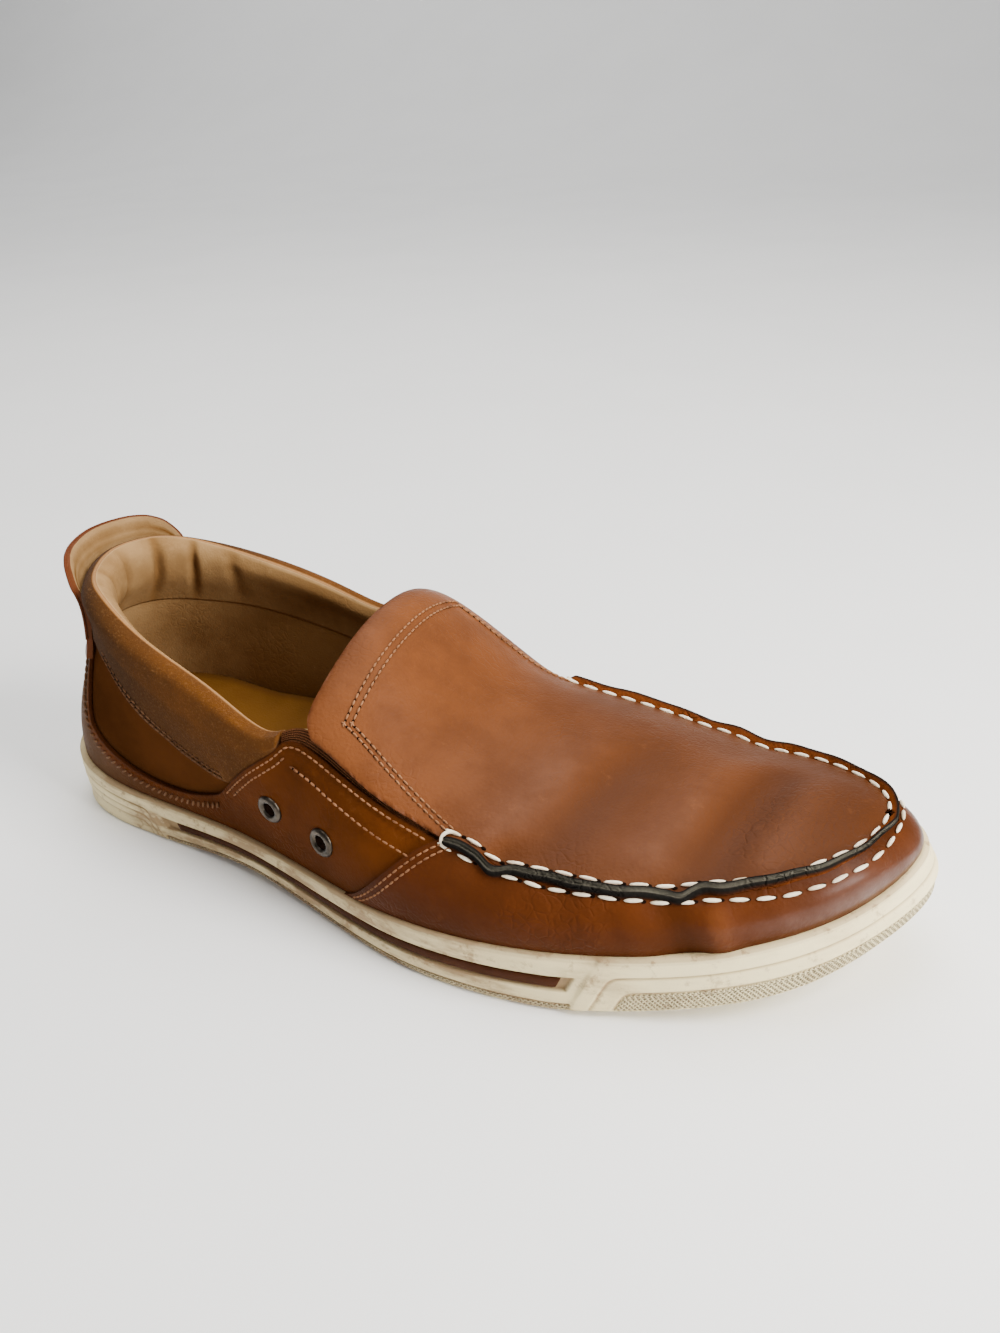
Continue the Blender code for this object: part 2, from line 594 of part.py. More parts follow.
def build_heel_tab():
    """Flared pull tab: hugs the collar's back, rises over it and leans out."""
    side = np.array((0, 0.2, 0.4, 0.6, 0.8, 0.95, 1.1, 1.22, 1.34, 1.43, 1.5))
    us = np.concatenate([side[::-1], TURNS - TAB_MEDIAL * side[1:]])
    edge = table(TAB_EDGE, np.concatenate([side[::-1], side[1:]]))
    base = GAP + COLLAR_SKIN + 0.3 + GAP + 0.15
    top, lower = section(us)[:, TX:TZ + 1], 0.7
    length = np.linalg.norm(top - rib(us, lower + 0 * us), axis=-1) / (1 - lower)
    rows = []
    for part in (0, 0.2, 0.4, 0.6, 0.75, 0.9, 1.0):
        high = TAB_ROOT + (edge - TAB_ROOT) * part
        share = 1 + np.minimum(high, 0) / length
        turn = np.clip(1 + high / TAB_TURN, 0, 1)[:, None]
        n = rib_normal(us, share) * (1 - turn) + outward(us) * turn
        n /= np.linalg.norm(n, axis=-1, keepdims=True)
        over = np.maximum(high, 0)
        point = rib(us, share) + n * (base + TAB_LEAN * over)[:, None]
        point[:, 2] += over
        rows.append(point)
    return sheet("heel_tab", "leather_brown", np.stack(rows, 1), TAB_WALL, centre=(-5, 40, 0, 60))


def build_moc_seam():
    """Raised seam ridge along the top line, from one flap corner round the toe."""
    lateral = np.concatenate([[SEAM], HALF[HALF > SEAM + 0.4]])
    us = np.concatenate([lateral, TURNS - lateral[-2::-1]])
    line = section(us)[:, TX:TZ + 1]
    n = ridge_normal(us)
    way = np.gradient(line, axis=0)
    way /= np.linalg.norm(way, axis=-1, keepdims=True)
    n -= way * np.sum(n * way, -1, keepdims=True)
    n /= np.linalg.norm(n, axis=-1, keepdims=True)
    across = np.cross(way, n)
    corners = ((-1.0, 0.0), (1.0, 0.0), (1.0, 0.7), (0.45, 1.0), (-0.45, 1.0), (-1.0, 0.7))
    loops = np.stack([line + across * RIDGE_HALF * a + n * (GAP + 0.5 + RIDGE_HIGH * h)
                      for a, h in corners], 1)
    return tube("moc_seam", "seam_black", loops, closed=False)


def build_eyelet(name, u, d):
    """Round eyelet standing on the quarter."""
    here, n = rib(u, d), rib_normal(u, d)
    a = rib(u + 0.02, d) - rib(u - 0.02, d)
    a /= np.linalg.norm(a)
    b = np.cross(n, a)
    base = GAP + OVERLAY_WALL + 0.5
    loops = []
    for k in range(14):
        turn = 2 * math.pi * k / 14
        ray = a * math.cos(turn) + b * math.sin(turn)
        loops.append([here + ray * r + n * h for r, h in (
            (EYELET_HOLE, base), (EYELET_OUTER, base), (EYELET_OUTER - 0.5, base + EYELET_HIGH * 0.7),
            (EYELET_HOLE + 0.9, base + EYELET_HIGH), (EYELET_HOLE, base + EYELET_HIGH * 0.6))])
    return tube(name, "metal_gunmetal", np.array(loops), closed=True)


def clear_scene():
    for obj in list(bpy.data.objects):
        bpy.data.objects.remove(obj, do_unlink=True)


clear_scene()
SHOE = bpy.data.collections.new("moc_toe_loafer")
bpy.context.scene.collection.children.link(SHOE)

build_outsole()
build_insole()
build_upper()
build_foxing()
build_vamp()
build_apron()
build_collar()
build_heel_tab()
build_moc_seam()
for SIDE in ("lateral", "medial"):
    build_stripe(SIDE)
    build_gore(SIDE)
    for PLACE, U, D in EYELETS:
        build_eyelet("eyelet_" + SIDE + "_" + PLACE, U if SIDE == "lateral" else TURNS - U, D)
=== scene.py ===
"""Looks of a slip-on moc-toe loafer (right shoe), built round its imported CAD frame.

Frame: +X to the toe, +Y to the medial side, +Z up, metres. The maths below is in
millimetres and is turned into metres where a mesh is made.
"""

from __future__ import annotations

import logging
import math
from dataclasses import astuple, dataclass
from enum import Enum

import bmesh
import bpy
import numpy as np
from mathutils import Matrix, Vector


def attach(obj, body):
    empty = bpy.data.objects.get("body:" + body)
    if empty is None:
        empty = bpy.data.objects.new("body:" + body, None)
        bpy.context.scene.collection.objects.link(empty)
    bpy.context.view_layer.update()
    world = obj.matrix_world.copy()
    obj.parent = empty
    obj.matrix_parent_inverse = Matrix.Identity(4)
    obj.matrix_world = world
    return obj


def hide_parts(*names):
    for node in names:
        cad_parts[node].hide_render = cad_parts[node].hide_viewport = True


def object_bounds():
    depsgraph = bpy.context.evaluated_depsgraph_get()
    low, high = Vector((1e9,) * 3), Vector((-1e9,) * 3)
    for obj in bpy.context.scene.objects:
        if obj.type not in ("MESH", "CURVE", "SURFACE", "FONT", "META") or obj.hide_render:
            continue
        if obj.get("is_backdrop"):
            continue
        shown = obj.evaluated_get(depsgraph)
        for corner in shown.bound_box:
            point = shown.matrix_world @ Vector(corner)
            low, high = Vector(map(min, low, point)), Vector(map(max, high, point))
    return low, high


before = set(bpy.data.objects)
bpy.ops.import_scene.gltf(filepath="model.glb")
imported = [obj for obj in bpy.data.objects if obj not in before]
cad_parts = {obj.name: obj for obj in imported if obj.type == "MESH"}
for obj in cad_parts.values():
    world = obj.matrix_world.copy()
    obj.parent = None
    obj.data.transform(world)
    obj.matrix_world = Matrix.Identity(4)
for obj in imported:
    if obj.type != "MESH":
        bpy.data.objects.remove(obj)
CAD_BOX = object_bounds()
MM = 0.001
LOG = logging.getLogger("loafer")
Array = np.ndarray
Pair = tuple[float, float]
Pairs = tuple[Pair, ...]
Triple = tuple[float, float, float]
Row = tuple[Array, Array]
Socket = bpy.types.NodeSocket
Materials = list[bpy.types.Material]


class Side(Enum):
    """Side of the foot a paired piece belongs to."""

    LATERAL = "lateral"
    MEDIAL = "medial"

    def u(self, u: Array | float) -> Array:
        """Section number on this side for a lateral section number."""
        return np.asarray(u, float) if self is Side.LATERAL else TURNS - np.asarray(u, float)


class Border(Enum):
    """A border of a grid of points."""

    FIRST_ROW = "first row"
    LAST_ROW = "last row"
    FIRST_COLUMN = "first column"
    LAST_COLUMN = "last column"


class Way(Enum):
    """Direction of a node group's socket."""

    IN = "INPUT"
    OUT = "OUTPUT"


# --------------------------------------------------------------------- the last
# A section's columns.
X, Y, BOTTOM, WALL, TX, TY, TZ, BELLY, SHOULDER, CROWN = range(10)
# How many sections there are, and the numbers of the toe's tip and the flap's edge.
TURNS, TIP, FLAP = 26, 13, 6
# The upper's foot, mm in from the sole's top edge, and the step that normals are taken with.
FOOT_INSET, STEP = 2.95, 1e-3


@dataclass(frozen=True)
class Section:
    """One section round the shoe, in mm: outline, sole heights, top line, bulges."""

    name: str
    x: float
    y: float
    bottom: float
    wall: float
    top_x: float
    top_y: float
    top_z: float
    belly: float
    shoulder: float
    crown: float

    def numbers(self) -> tuple[float, ...]:
        """The section's columns in the order X .. CROWN."""
        return astuple(self)[1:]


SECTIONS = (
    Section("heel_back", -39, 0, 0.6, 20.5, -17.5, 0, 87, 1, -6, 0),
    Section("heel_corner_lateral", -30, -23.5, 0.0, 19, -10, -18.5, 86.5, 0.5, -7.5, 0),
    Section("heel_side_lateral", -8, -34, -0.6, 16.5, 2, -29, 84.5, 2, -4, 0),
    Section("heel_front_lateral", 18.5, -36.5, -0.2, 15, 21.5, -33.5, 75.5, 3, 1.5, 0),
    Section("waist_lateral", 47.5, -39.5, 2.4, 15, 48.5, -37, 66.5, 3, 2.5, 0),
    Section("collar_end_lateral", 70, -44, 2.2, 15, 72, -40, 59, 3, 2.5, 0),
    Section("flap_corner_lateral", 87.5, -48.5, 1.0, 15, 87.5, -38.5, 63.5, 3, 4, 12.5),
    Section("flap_side_lateral", 109.5, -54.5, 0.2, 16, 110.5, -42.5, 52.5, 3, 4, 12.5),
    Section("seam_start_lateral", 131, -58, -0.4, 17.5, 132, -45, 42.5, 3, 4, 12.5),
    Section("ball_lateral", 161, -57, -0.6, 19.5, 162, -47.5, 37, 3, 5, 11),
    Section("forefoot_lateral", 197, -48.5, 3.6, 22.5, 195, -41.5, 37.5, 2.5, 5, 9),
    Section("toe_side_lateral", 228, -35, 9.8, 27.5, 220, -29, 40.5, 2.5, 5, 6),
    Section("toe_corner_lateral", 248.5, -16.5, 18, 31.5, 238.5, -11.5, 43.5, 2, 5, 3.5),
    Section("toe_tip", 259.5, 6, 23.2, 36, 243.5, 7.5, 43.5, 2, 4.5, 0),
    Section("toe_corner_medial", 251, 25.5, 19.6, 35, 238.5, 22, 41.5, 2, 2.5, 0),
    Section("toe_side_medial", 228, 40.5, 10.8, 29.5, 221, 33.5, 38.5, 2, 2, 0),
    Section("forefoot_medial", 198, 50, 3.9, 23.5, 198, 41, 35, 2, 2, 0),
    Section("ball_medial", 164, 52.5, -0.6, 20, 164, 46.5, 37, 2.5, 2.5, 0),
    Section("seam_start_medial", 129, 49, -0.4, 17.5, 130, 46, 42, 3, 4, 0),
    Section("flap_side_medial", 107, 44, 0.6, 16, 108.5, 43, 56.5, 3, 4, 0),
    Section("flap_corner_medial", 84.5, 39, 2.1, 15.5, 86.5, 38.5, 70.5, 3, 4, 0),
    Section("collar_end_medial", 68, 36.5, 3.1, 15.5, 71, 39, 63, 3, 2.5, 0),
    Section("waist_medial", 45.5, 35, 3.1, 15.5, 48.5, 37, 69.5, 3, 2.5, 0),
    Section("heel_front_medial", 17.5, 35, -0.2, 16, 21, 34, 77.5, 3, 2, 0),
    Section("heel_side_medial", -8, 34.5, -0.6, 16.5, 2, 29.5, 81.5, 2, -3, 0),
    Section("heel_corner_medial", -31, 24.5, 0.0, 19, -12, 19.5, 85, 0.5, -6.5, 0),
)


def unit(vectors: Array) -> Array:
    """The vectors at length 1."""
    return vectors / np.linalg.norm(vectors, axis=-1, keepdims=True)


@dataclass(frozen=True)
class Fold:
    """A soft trough (negative depth) or ridge in worn leather, in mm."""

    name: str
    start: Triple
    end: Triple
    width: float
    depth: float

    def lift(self, p: Array) -> Array:
        """How far this fold moves each point along the surface normal.

        Args:
            p: points in mm.

        Returns:
            The move at each point, in mm.
        """
        a, b = np.array(self.start), np.array(self.end)
        along = np.clip(((p - a) @ (b - a)) / ((b - a) @ (b - a)), 0, 1)
        far = np.linalg.norm(p - (a + along[..., None] * (b - a)), axis=-1)
        return self.depth * np.exp(-(far / self.width) ** 2)


FOLDS = (
    Fold("plug_ridge", (162, 4, 54), (149, -44, 43), 9, 1.0),
    Fold("plug_hollow", (176, 8, 53), (164, -40, 43), 8, -1.1),
    Fold("flex_crease", (213, 12, 50), (204, -37, 42), 6.5, -1.6),
    Fold("flex_ridge", (199, 14, 51), (190, -30, 46), 8, 0.9),
    Fold("toe_ridge", (226, 14, 50), (219, -24, 44), 6, 0.5),
    Fold("side_trough", (198, -44, 36), (205, -46, 25), 5.5, -1.9),
    Fold("side_ridge", (210, -40, 37), (214, -42, 26), 4.5, 1.1),
    Fold("ball_wrinkle", (172, -50, 35), (178, -54, 26), 3.5, -0.6),
    Fold("ball_wrinkle_two", (184, -49, 34), (189, -52, 25), 3.0, -0.6),
    Fold("seam_kink", (152, -49, 40), (153, -46, 42), 5, -1.4),
    Fold("medial_trough", (205, 44, 38), (210, 46, 26), 6, -1.5),
    Fold("medial_ridge", (192, 45, 38), (195, 50, 26), 6, 0.8),
    Fold("flap_hollow", (120, 10, 66), (118, -24, 62), 14, -0.7),
    Fold("heel_dent", (30, -38, 42), (46, -40, 34), 9, -0.8),
)


# Height of the cup's floor above the underside, against x.
CUP_FLOOR = ((-40, 12.5), (0, 11.5), (45, 7.5), (100, 7.5), (160, 9), (215, 8.5), (262, 7.5))


class Last:
    """The shoe's form: a closed cubic through the sections, ribs and the crown."""

    def __init__(self, sections: tuple[Section, ...], folds: tuple[Fold, ...]) -> None:
        """Fits the closed cubic.

        Args:
            sections: the rows round the shoe, heel back first, lateral side next.
            folds: troughs and ridges worn into the leather.
        """
        self.rows = np.array([s.numbers() for s in sections], float)
        self.folds = folds
        count = len(self.rows)
        system = 4 * np.eye(count) + np.roll(np.eye(count), 1, 0) + np.roll(np.eye(count), -1, 0)
        rise = 3 * (np.roll(self.rows, -1, 0) - np.roll(self.rows, 1, 0))
        self.slopes = np.linalg.solve(system, rise)

    def at(self, u: Array | float) -> Array:
        """Every column at section number u.

        Args:
            u: section numbers.

        Returns:
            The columns X to CROWN on the last axis.
        """
        u = np.asarray(u, float) % TURNS
        i = np.floor(u).astype(int) % TURNS
        t = (u - np.floor(u))[..., None]
        j = (i + 1) % TURNS
        return ((2 * t**3 - 3 * t**2 + 1) * self.rows[i] + (t**3 - 2 * t**2 + t) * self.slopes[i]
                + (-2 * t**3 + 3 * t**2) * self.rows[j] + (t**3 - t**2) * self.slopes[j])

    def outward(self, u: Array | float) -> Array:
        """Unit normal of the outline in plan, as 3-D vectors.

        Args:
            u: section numbers.

        Returns:
            Level unit vectors.
        """
        way = unit((self.at(np.asarray(u) + STEP) - self.at(np.asarray(u) - STEP))[..., :2])
        return np.stack([way[..., 1], -way[..., 0], 0 * way[..., 0]], -1)

    def taper(self, c: Array) -> Array:
        """Inset of the sole's top edge, which leans in round the toe."""
        return 1.2 + 3.1 * np.clip((c[..., X] - 212) / 46, 0, 1)

    def platform(self, c: Array) -> Array:
        """Height of the floor of the cup."""
        return np.maximum(c[..., BOTTOM], 0.0) + np.interp(c[..., X], *zip(*CUP_FLOOR))

    def wall(self, u: Array, share: Array | float, inset: Array | float) -> Array:
        """Point of the sole's side at a share of its height, moved in from the outline.

        Args:
            u: section numbers.
            share: share of the side's height.
            inset: mm in from the outline.

        Returns:
            Points in mm.
        """
        c = self.at(u)
        low = np.maximum(c[..., BOTTOM], 0.0)
        height = low + (c[..., WALL] - low) * share
        x, y, height, inset = np.broadcast_arrays(c[..., X], c[..., Y], height, inset)
        return np.stack([x, y, height], -1) - self.outward(u) * inset[..., None]

    def bare_rib(self, u: Array, d: Array) -> Array:
        """The upper's outer face without folds: section u, share d of the way up.

        Args:
            u: section numbers.
            d: shares of the way up the rib.

        Returns:
            Points in mm.
        """
        u, d = np.broadcast_arrays(np.asarray(u, float), np.asarray(d, float))
        c, n = self.at(u), self.outward(u)
        low = np.stack([c[..., X], c[..., Y], c[..., WALL] + 0.2], -1)
        low = low - n * (self.taper(c) + FOOT_INSET)[..., None]
        top = c[..., TX:TZ + 1]
        rise = np.zeros_like(low)
        rise[..., 2] = (top - low)[..., 2]
        one = low + rise * 0.40 + n * c[..., BELLY, None]
        two = top + n * c[..., SHOULDER, None] - rise * 0.22
        d = d[..., None]
        return (1 - d)**3 * low + 3 * (1 - d)**2 * d * one + 3 * (1 - d) * d**2 * two + d**3 * top

    def rib_normal(self, u: Array, d: Array) -> Array:
        """Outward normal of the ribs' surface.

        Args:
            u: section numbers.
            d: shares of the way up the rib.

        Returns:
            Unit vectors.
        """
        u, d = np.broadcast_arrays(np.asarray(u, float), np.asarray(d, float))
        along = self.bare_rib(u + STEP, d) - self.bare_rib(u - STEP, d)
        up = self.bare_rib(u, np.minimum(d + STEP, 1)) - self.bare_rib(u, d - STEP)
        return unit(np.cross(along, up))

    def relief(self, p: Array) -> Array:
        """Sum of the folds at each point."""
        return sum(fold.lift(p) for fold in self.folds)

    def rib(self, u: Array, d: Array, lift: Array | float = 0.0) -> Array:
        """The worn surface of the ribs, raised by lift along its normal.

        Args:
            u: section numbers.
            d: shares of the way up the rib.
            lift: mm along the normal.

        Returns:
            Points in mm.
        """
        p = self.bare_rib(u, d)
        move = np.asarray(lift) + self.relief(p)
        return p + self.rib_normal(u, d) * (move + 0 * p[..., 0])[..., None]

    def bare_crown(self, u: Array, v: Array) -> Array:
        """The apron's base: section u on the lateral side, v across to the medial side.

        Args:
            u: section numbers.
            v: shares of the way across.

        Returns:
            Points in mm.
        """
        u, v = np.broadcast_arrays(np.asarray(u, float), np.asarray(v, float))
        a, b = self.at(u)[..., TX:TZ + 1], self.at(TURNS - u)[..., TX:TZ + 1]
        p = a * (1 - v[..., None]) + b * v[..., None]
        p[..., 2] += self.at(u)[..., CROWN] * (1 - np.abs(2 * v - 1)**2.2)
        return p

    def crown_normal(self, u: Array, v: Array) -> Array:
        """Upward normal of the crown.

        Args:
            u: section numbers.
            v: shares of the way across.

        Returns:
            Unit vectors.
        """
        u, v = np.broadcast_arrays(np.asarray(u, float), np.asarray(v, float))
        along = self.bare_crown(np.minimum(u + STEP, TIP), v) - self.bare_crown(u - STEP, v)
        right = self.bare_crown(u, np.minimum(v + STEP, 1))
        return unit(np.cross(along, right - self.bare_crown(u, np.maximum(v - STEP, 0))))

    def crown(self, u: Array, v: Array, lift: Array | float = 0.0) -> Array:
        """The worn crown, raised by lift along its normal.

        Args:
            u: section numbers.
            v: shares of the way across.
            lift: mm along the normal.

        Returns:
            Points in mm.
        """
        p = self.bare_crown(u, v)
        move = np.asarray(lift) + self.relief(p)
        return p + self.crown_normal(u, v) * (move + 0 * p[..., 0])[..., None]

    def seam_frame(self, u: Array) -> tuple[Array, Array, Array]:
        """Top line round the toe with its worn dips.

        Args:
            u: section numbers along the line.

        Returns:
            Points, unit normals and unit vectors across, pointing away from the apron.
        """
        u = np.asarray(u, float)
        side = np.minimum(np.where(u <= TIP, u, TURNS - u), TIP - 0.15)
        n = self.rib_normal(u, 0.999) + self.crown_normal(side, np.where(u <= TIP, 0.0, 1.0))
        line = self.at(u)[..., TX:TZ + 1]
        way = unit(np.gradient(line, axis=0))
        n = unit(n - way * np.sum(n * way, -1, keepdims=True))
        return line + n * self.relief(line)[:, None], n, np.cross(way, n)

    def share_below_top(self, u: Array, length: Array | float) -> Array:
        """Share d that lies this length below the top line.

        Args:
            u: section numbers.
            length: mm down from the top line.

        Returns:
            The shares.
        """
        last = np.linalg.norm(self.bare_rib(u, 1.0) - self.bare_rib(u, 0.98), axis=-1)
        return 1 - 0.02 * length / last

    def share_at_height(self, u: Array, z: Array) -> Array:
        """Share d at which the rib reaches height z near the sole.

        Args:
            u: section numbers.
            z: heights in mm.

        Returns:
            The shares.
        """
        d = np.linspace(0, 0.7, 141)
        u, z = np.broadcast_arrays(np.asarray(u, float), np.asarray(z, float))
        found = [np.interp(high, self.bare_rib(at, d)[:, 2], d)
                 for at, high in zip(u.ravel(), z.ravel())]
        return np.array(found).reshape(u.shape)


LAST = Last(SECTIONS, FOLDS)


def curve_of(pairs: Pairs, soften: float = 0.1) -> Row:
    """A short table as a dense line with softened corners, mirrored at its start.

    Args:
        pairs: section number and value, in order.
        soften: width of a rounded corner, in sections.

    Returns:
        Section numbers and values.
    """
    fine = 0.01
    x = np.arange(pairs[0][0] - 1.0, pairs[-1][0] + 1.0, fine)
    y = np.interp(np.abs(x) if pairs[0][0] == 0 else x, *zip(*pairs))
    size = max(1, int(soften / fine))
    kernel = np.hanning(2 * size + 3)[1:-1]
    padded = np.pad(y, size, mode="edge")
    return x, np.convolve(padded, kernel / kernel.sum(), "valid")


def read(curve: Row, u: Array) -> Array:
    """A table's line read at section u, the same on both sides of the shoe."""
    u = np.asarray(u, float) % TURNS
    return np.interp(np.minimum(u, TURNS - u), *curve)


# Shares and sizes round the shoe, against the section number.
FOXING_TOP = curve_of((
    (0.0, 0.62), (1.3, 0.62), (1.5, 0.44), (1.65, 0.25), (2.0, 0.19), (2.3, 0.16), (2.6, 0.135),
    (2.9, 0.12), (3.2, 0.12), (3.5, 0.14), (3.8, 0.19), (4.0, 0.24), (4.2, 0.35), (4.45, 0.50),
    (4.7, 0.65), (5.0, 0.79), (5.5, 0.915), (5.75, 0.90), (6.15, 0.865), (6.6, 0.865),
    (7.2, 0.915), (7.7, 0.96), (8.1, 0.98)), 0.12)
COLLAR_LOW = curve_of((
    (0.0, 0.60), (1.4, 0.66), (1.8, 0.69), (2.3, 0.65), (2.6, 0.58), (2.9, 0.52), (3.2, 0.465),
    (3.5, 0.40), (3.8, 0.365), (4.0, 0.35), (4.2, 0.37), (4.5, 0.48), (5.0, 0.71),
    (5.5, 0.86)), 0.12)
FLAP_HANG = curve_of((
    (5.8, 0.02), (6.2, 0.03), (6.6, 0.042), (7.1, 0.028), (7.6, 0.012), (8.0, 0.0),
    (13.0, 0.0)), 0.2)
FLAP_INSET = curve_of(((5.8, 0.0), (7.0, 0.0), (7.3, 0.010), (8.0, 0.018), (8.4, 0.018)), 0.15)
COLLAR_PAD = curve_of(((0.0, 5.5), (2.0, 5.0), (4.0, 3.0), (5.5, 1.4)), 0.3)
TAB_EDGE = curve_of((
    (0.0, 8.8), (0.6, 8.6), (0.8, 8.0), (1.0, 5.9), (1.2, 1.0), (1.35, -8.0), (1.5, -19.0)), 0.1)


def smooth_step(x: Array, low: float, high: float) -> Array:
    """0 below low, 1 above high, smooth between."""
    t = np.clip((np.asarray(x, float) - low) / (high - low), 0, 1)
    return t * t * (3 - 2 * t)


def bump_at(x: Array, centre: float, width: float) -> Array:
    """A soft bell, 1 at its centre."""
    return np.exp(-((np.asarray(x, float) - centre) / width) ** 2)


def soft_min(a: Array, b: Array, radius: float) -> Array:
    """The smaller of two distances, its corner rounded."""
    return -radius * np.logaddexp(-np.asarray(a) / radius, -np.asarray(b) / radius)


# ------------------------------------------------------------------- mesh tools
def lengths(points: Array, axis: int) -> Array:
    """Distance run along one axis of a grid of points.

    Args:
        points: the grid.
        axis: 0 along a column, 1 along a row.

    Returns:
        The distance at each point.
    """
    step = np.linalg.norm(np.diff(points, axis=axis), axis=-1)
    start = np.zeros_like(np.take(points, [0], axis)[..., 0])
    return np.concatenate([start, np.cumsum(step, axis)], axis)


def run_along(line: Array) -> Array:
    """Distance run along one line of points."""
    return lengths(line[:, None], 0)[:, 0]


def evenly(line: Array, count: int) -> Array:
    """The line again, with count points spaced evenly.

    Args:
        line: points.
        count: of the new points.

    Returns:
        The new line.
    """
    run = run_along(line)
    even = np.linspace(0, run[-1], count)
    return np.stack([np.interp(even, run, line[:, k]) for k in range(3)], -1)


def steadied(line: Array) -> Array:
    """The line averaged over nine neighbours, its ends held."""
    padded, kernel = np.pad(line, ((4, 4), (0, 0)), mode="edge"), np.ones(9) / 9
    return np.stack([np.convolve(padded[:, k], kernel, "valid") for k in range(3)], -1)


def nearest(cloud: Array, line: Array) -> Array:
    """Index of the cloud's point nearest to each point of the line."""
    return np.array([np.argmin(((cloud - p) ** 2).sum(1)) for p in line])


def upward(points: Array) -> Array:
    """An upward vector for each point."""
    return np.zeros_like(points) + np.array((0.0, 0.0, 1.0))


def finish_mesh(obj: bpy.types.Object, materials: Materials) -> bpy.types.Object:
    """Smooth shading and materials.

    Args:
        obj: the piece.
        materials: its slots in order.

    Returns:
        The piece.
    """
    for made in materials:
        obj.data.materials.append(made)
    obj.data.shade_smooth()
    return obj


def link(name: str, mesh: bpy.types.Mesh) -> bpy.types.Object:
    """A new object in the scene.

    Args:
        name: of the object.
        mesh: its mesh.

    Returns:
        The object.
    """
    made = bpy.data.objects.new(name, mesh)
    bpy.context.scene.collection.objects.link(made)
    return made


def grid_object(name: str, points: Array, materials: Materials, outside: Array,
                wrap: bool = False, marks: dict[str, Array] | None = None) -> bpy.types.Object:
    """A sheet of quads over a grid of points.

    Args:
        name: the piece's name.
        points: rows x columns x 3, in mm.
        materials: slots of the mesh.
        outside: rough outward direction at each point, which the faces take.
        wrap: whether the last row joins the first.
        marks: values stored on the points, by name.

    Returns:
        The object, with a UV map in metres run along the sheet.
    """
    rows, columns = points.shape[:2]
    i = np.arange(rows if wrap else rows - 1)[:, None]
    k = np.arange(columns - 1)[None, :]
    j = (i + 1) % rows
    here, there = i * columns + k, j * columns + k
    quads = np.stack([here, there, there + 1, here + 1], -1)
    a, b, c = (points.reshape(-1, 3)[quads[..., n]] for n in range(3))
    facing = np.sum(np.cross(b - a, c - a) * outside.reshape(-1, 3)[quads[..., 0]])
    order = quads.reshape(-1, 4)
    if facing < 0:
        order = order[:, ::-1]
    mesh = bpy.data.meshes.new(name)
    mesh.from_pydata((points.reshape(-1, 3) * MM).tolist(), [], order.tolist())
    along, across = lengths(points, 0) * MM, lengths(points, 1) * MM
    corner = np.stack([along, across], -1).reshape(-1, 2)[order].copy()
    if wrap:
        row = order // columns
        seam = row.max(1) - row.min(1) > 1
        last_step = np.linalg.norm(points[0] - points[-1], axis=-1) * MM
        total = (along[-1] + last_step)[order % columns]
        corner[..., 0] = np.where(seam[:, None] & (row == 0), total, corner[..., 0])
    layer = mesh.uv_layers.new(name="UVMap")
    layer.data.foreach_set("uv", corner.astype(np.float32).ravel())
    store_marks(mesh, {key: np.broadcast_to(values, (rows, columns))
                       for key, values in (marks or {}).items()})
    mesh.validate()
    return finish_mesh(link(name, mesh), materials)


def wall_it(obj: bpy.types.Object, wall: float, edge: float, inner: int = 0, rim: int = 0) -> None:
    """Gives a sheet its thickness inwards and rounds its edges.

    Args:
        obj: the sheet.
        wall: thickness in mm.
        edge: radius of the edges in mm.
        inner: material offset of the inner face.
        rim: material offset of the rim.
    """
    solid = obj.modifiers.new("wall", "SOLIDIFY")
    solid.thickness = wall * MM
    solid.offset = -1.0
    solid.use_even_offset = False
    solid.material_offset = inner
    solid.material_offset_rim = rim
    if edge > 0:
        round_off = obj.modifiers.new("edge", "BEVEL")
        round_off.width = edge * MM
        round_off.segments = 3
        round_off.limit_method = "ANGLE"
        round_off.angle_limit = math.radians(50)


def edge_mark(points: Array, reach: float, *borders: Border) -> Array:
    """1 at the borders of a grid, falling to 0 at reach mm from them.

    Args:
        points: the grid.
        reach: width of the marked strip in mm.
        *borders: the borders to mark, or all four where none is given.

    Returns:
        The mark at each point.
    """
    rows, columns = lengths(points, 0), lengths(points, 1)
    far = {Border.FIRST_ROW: rows, Border.LAST_ROW: rows[-1:] - rows,
           Border.FIRST_COLUMN: columns, Border.LAST_COLUMN: columns[:, -1:] - columns}
    near = np.min([far[border] for border in borders or Border], 0)
    return 1 - smooth_step(near, 0, reach)


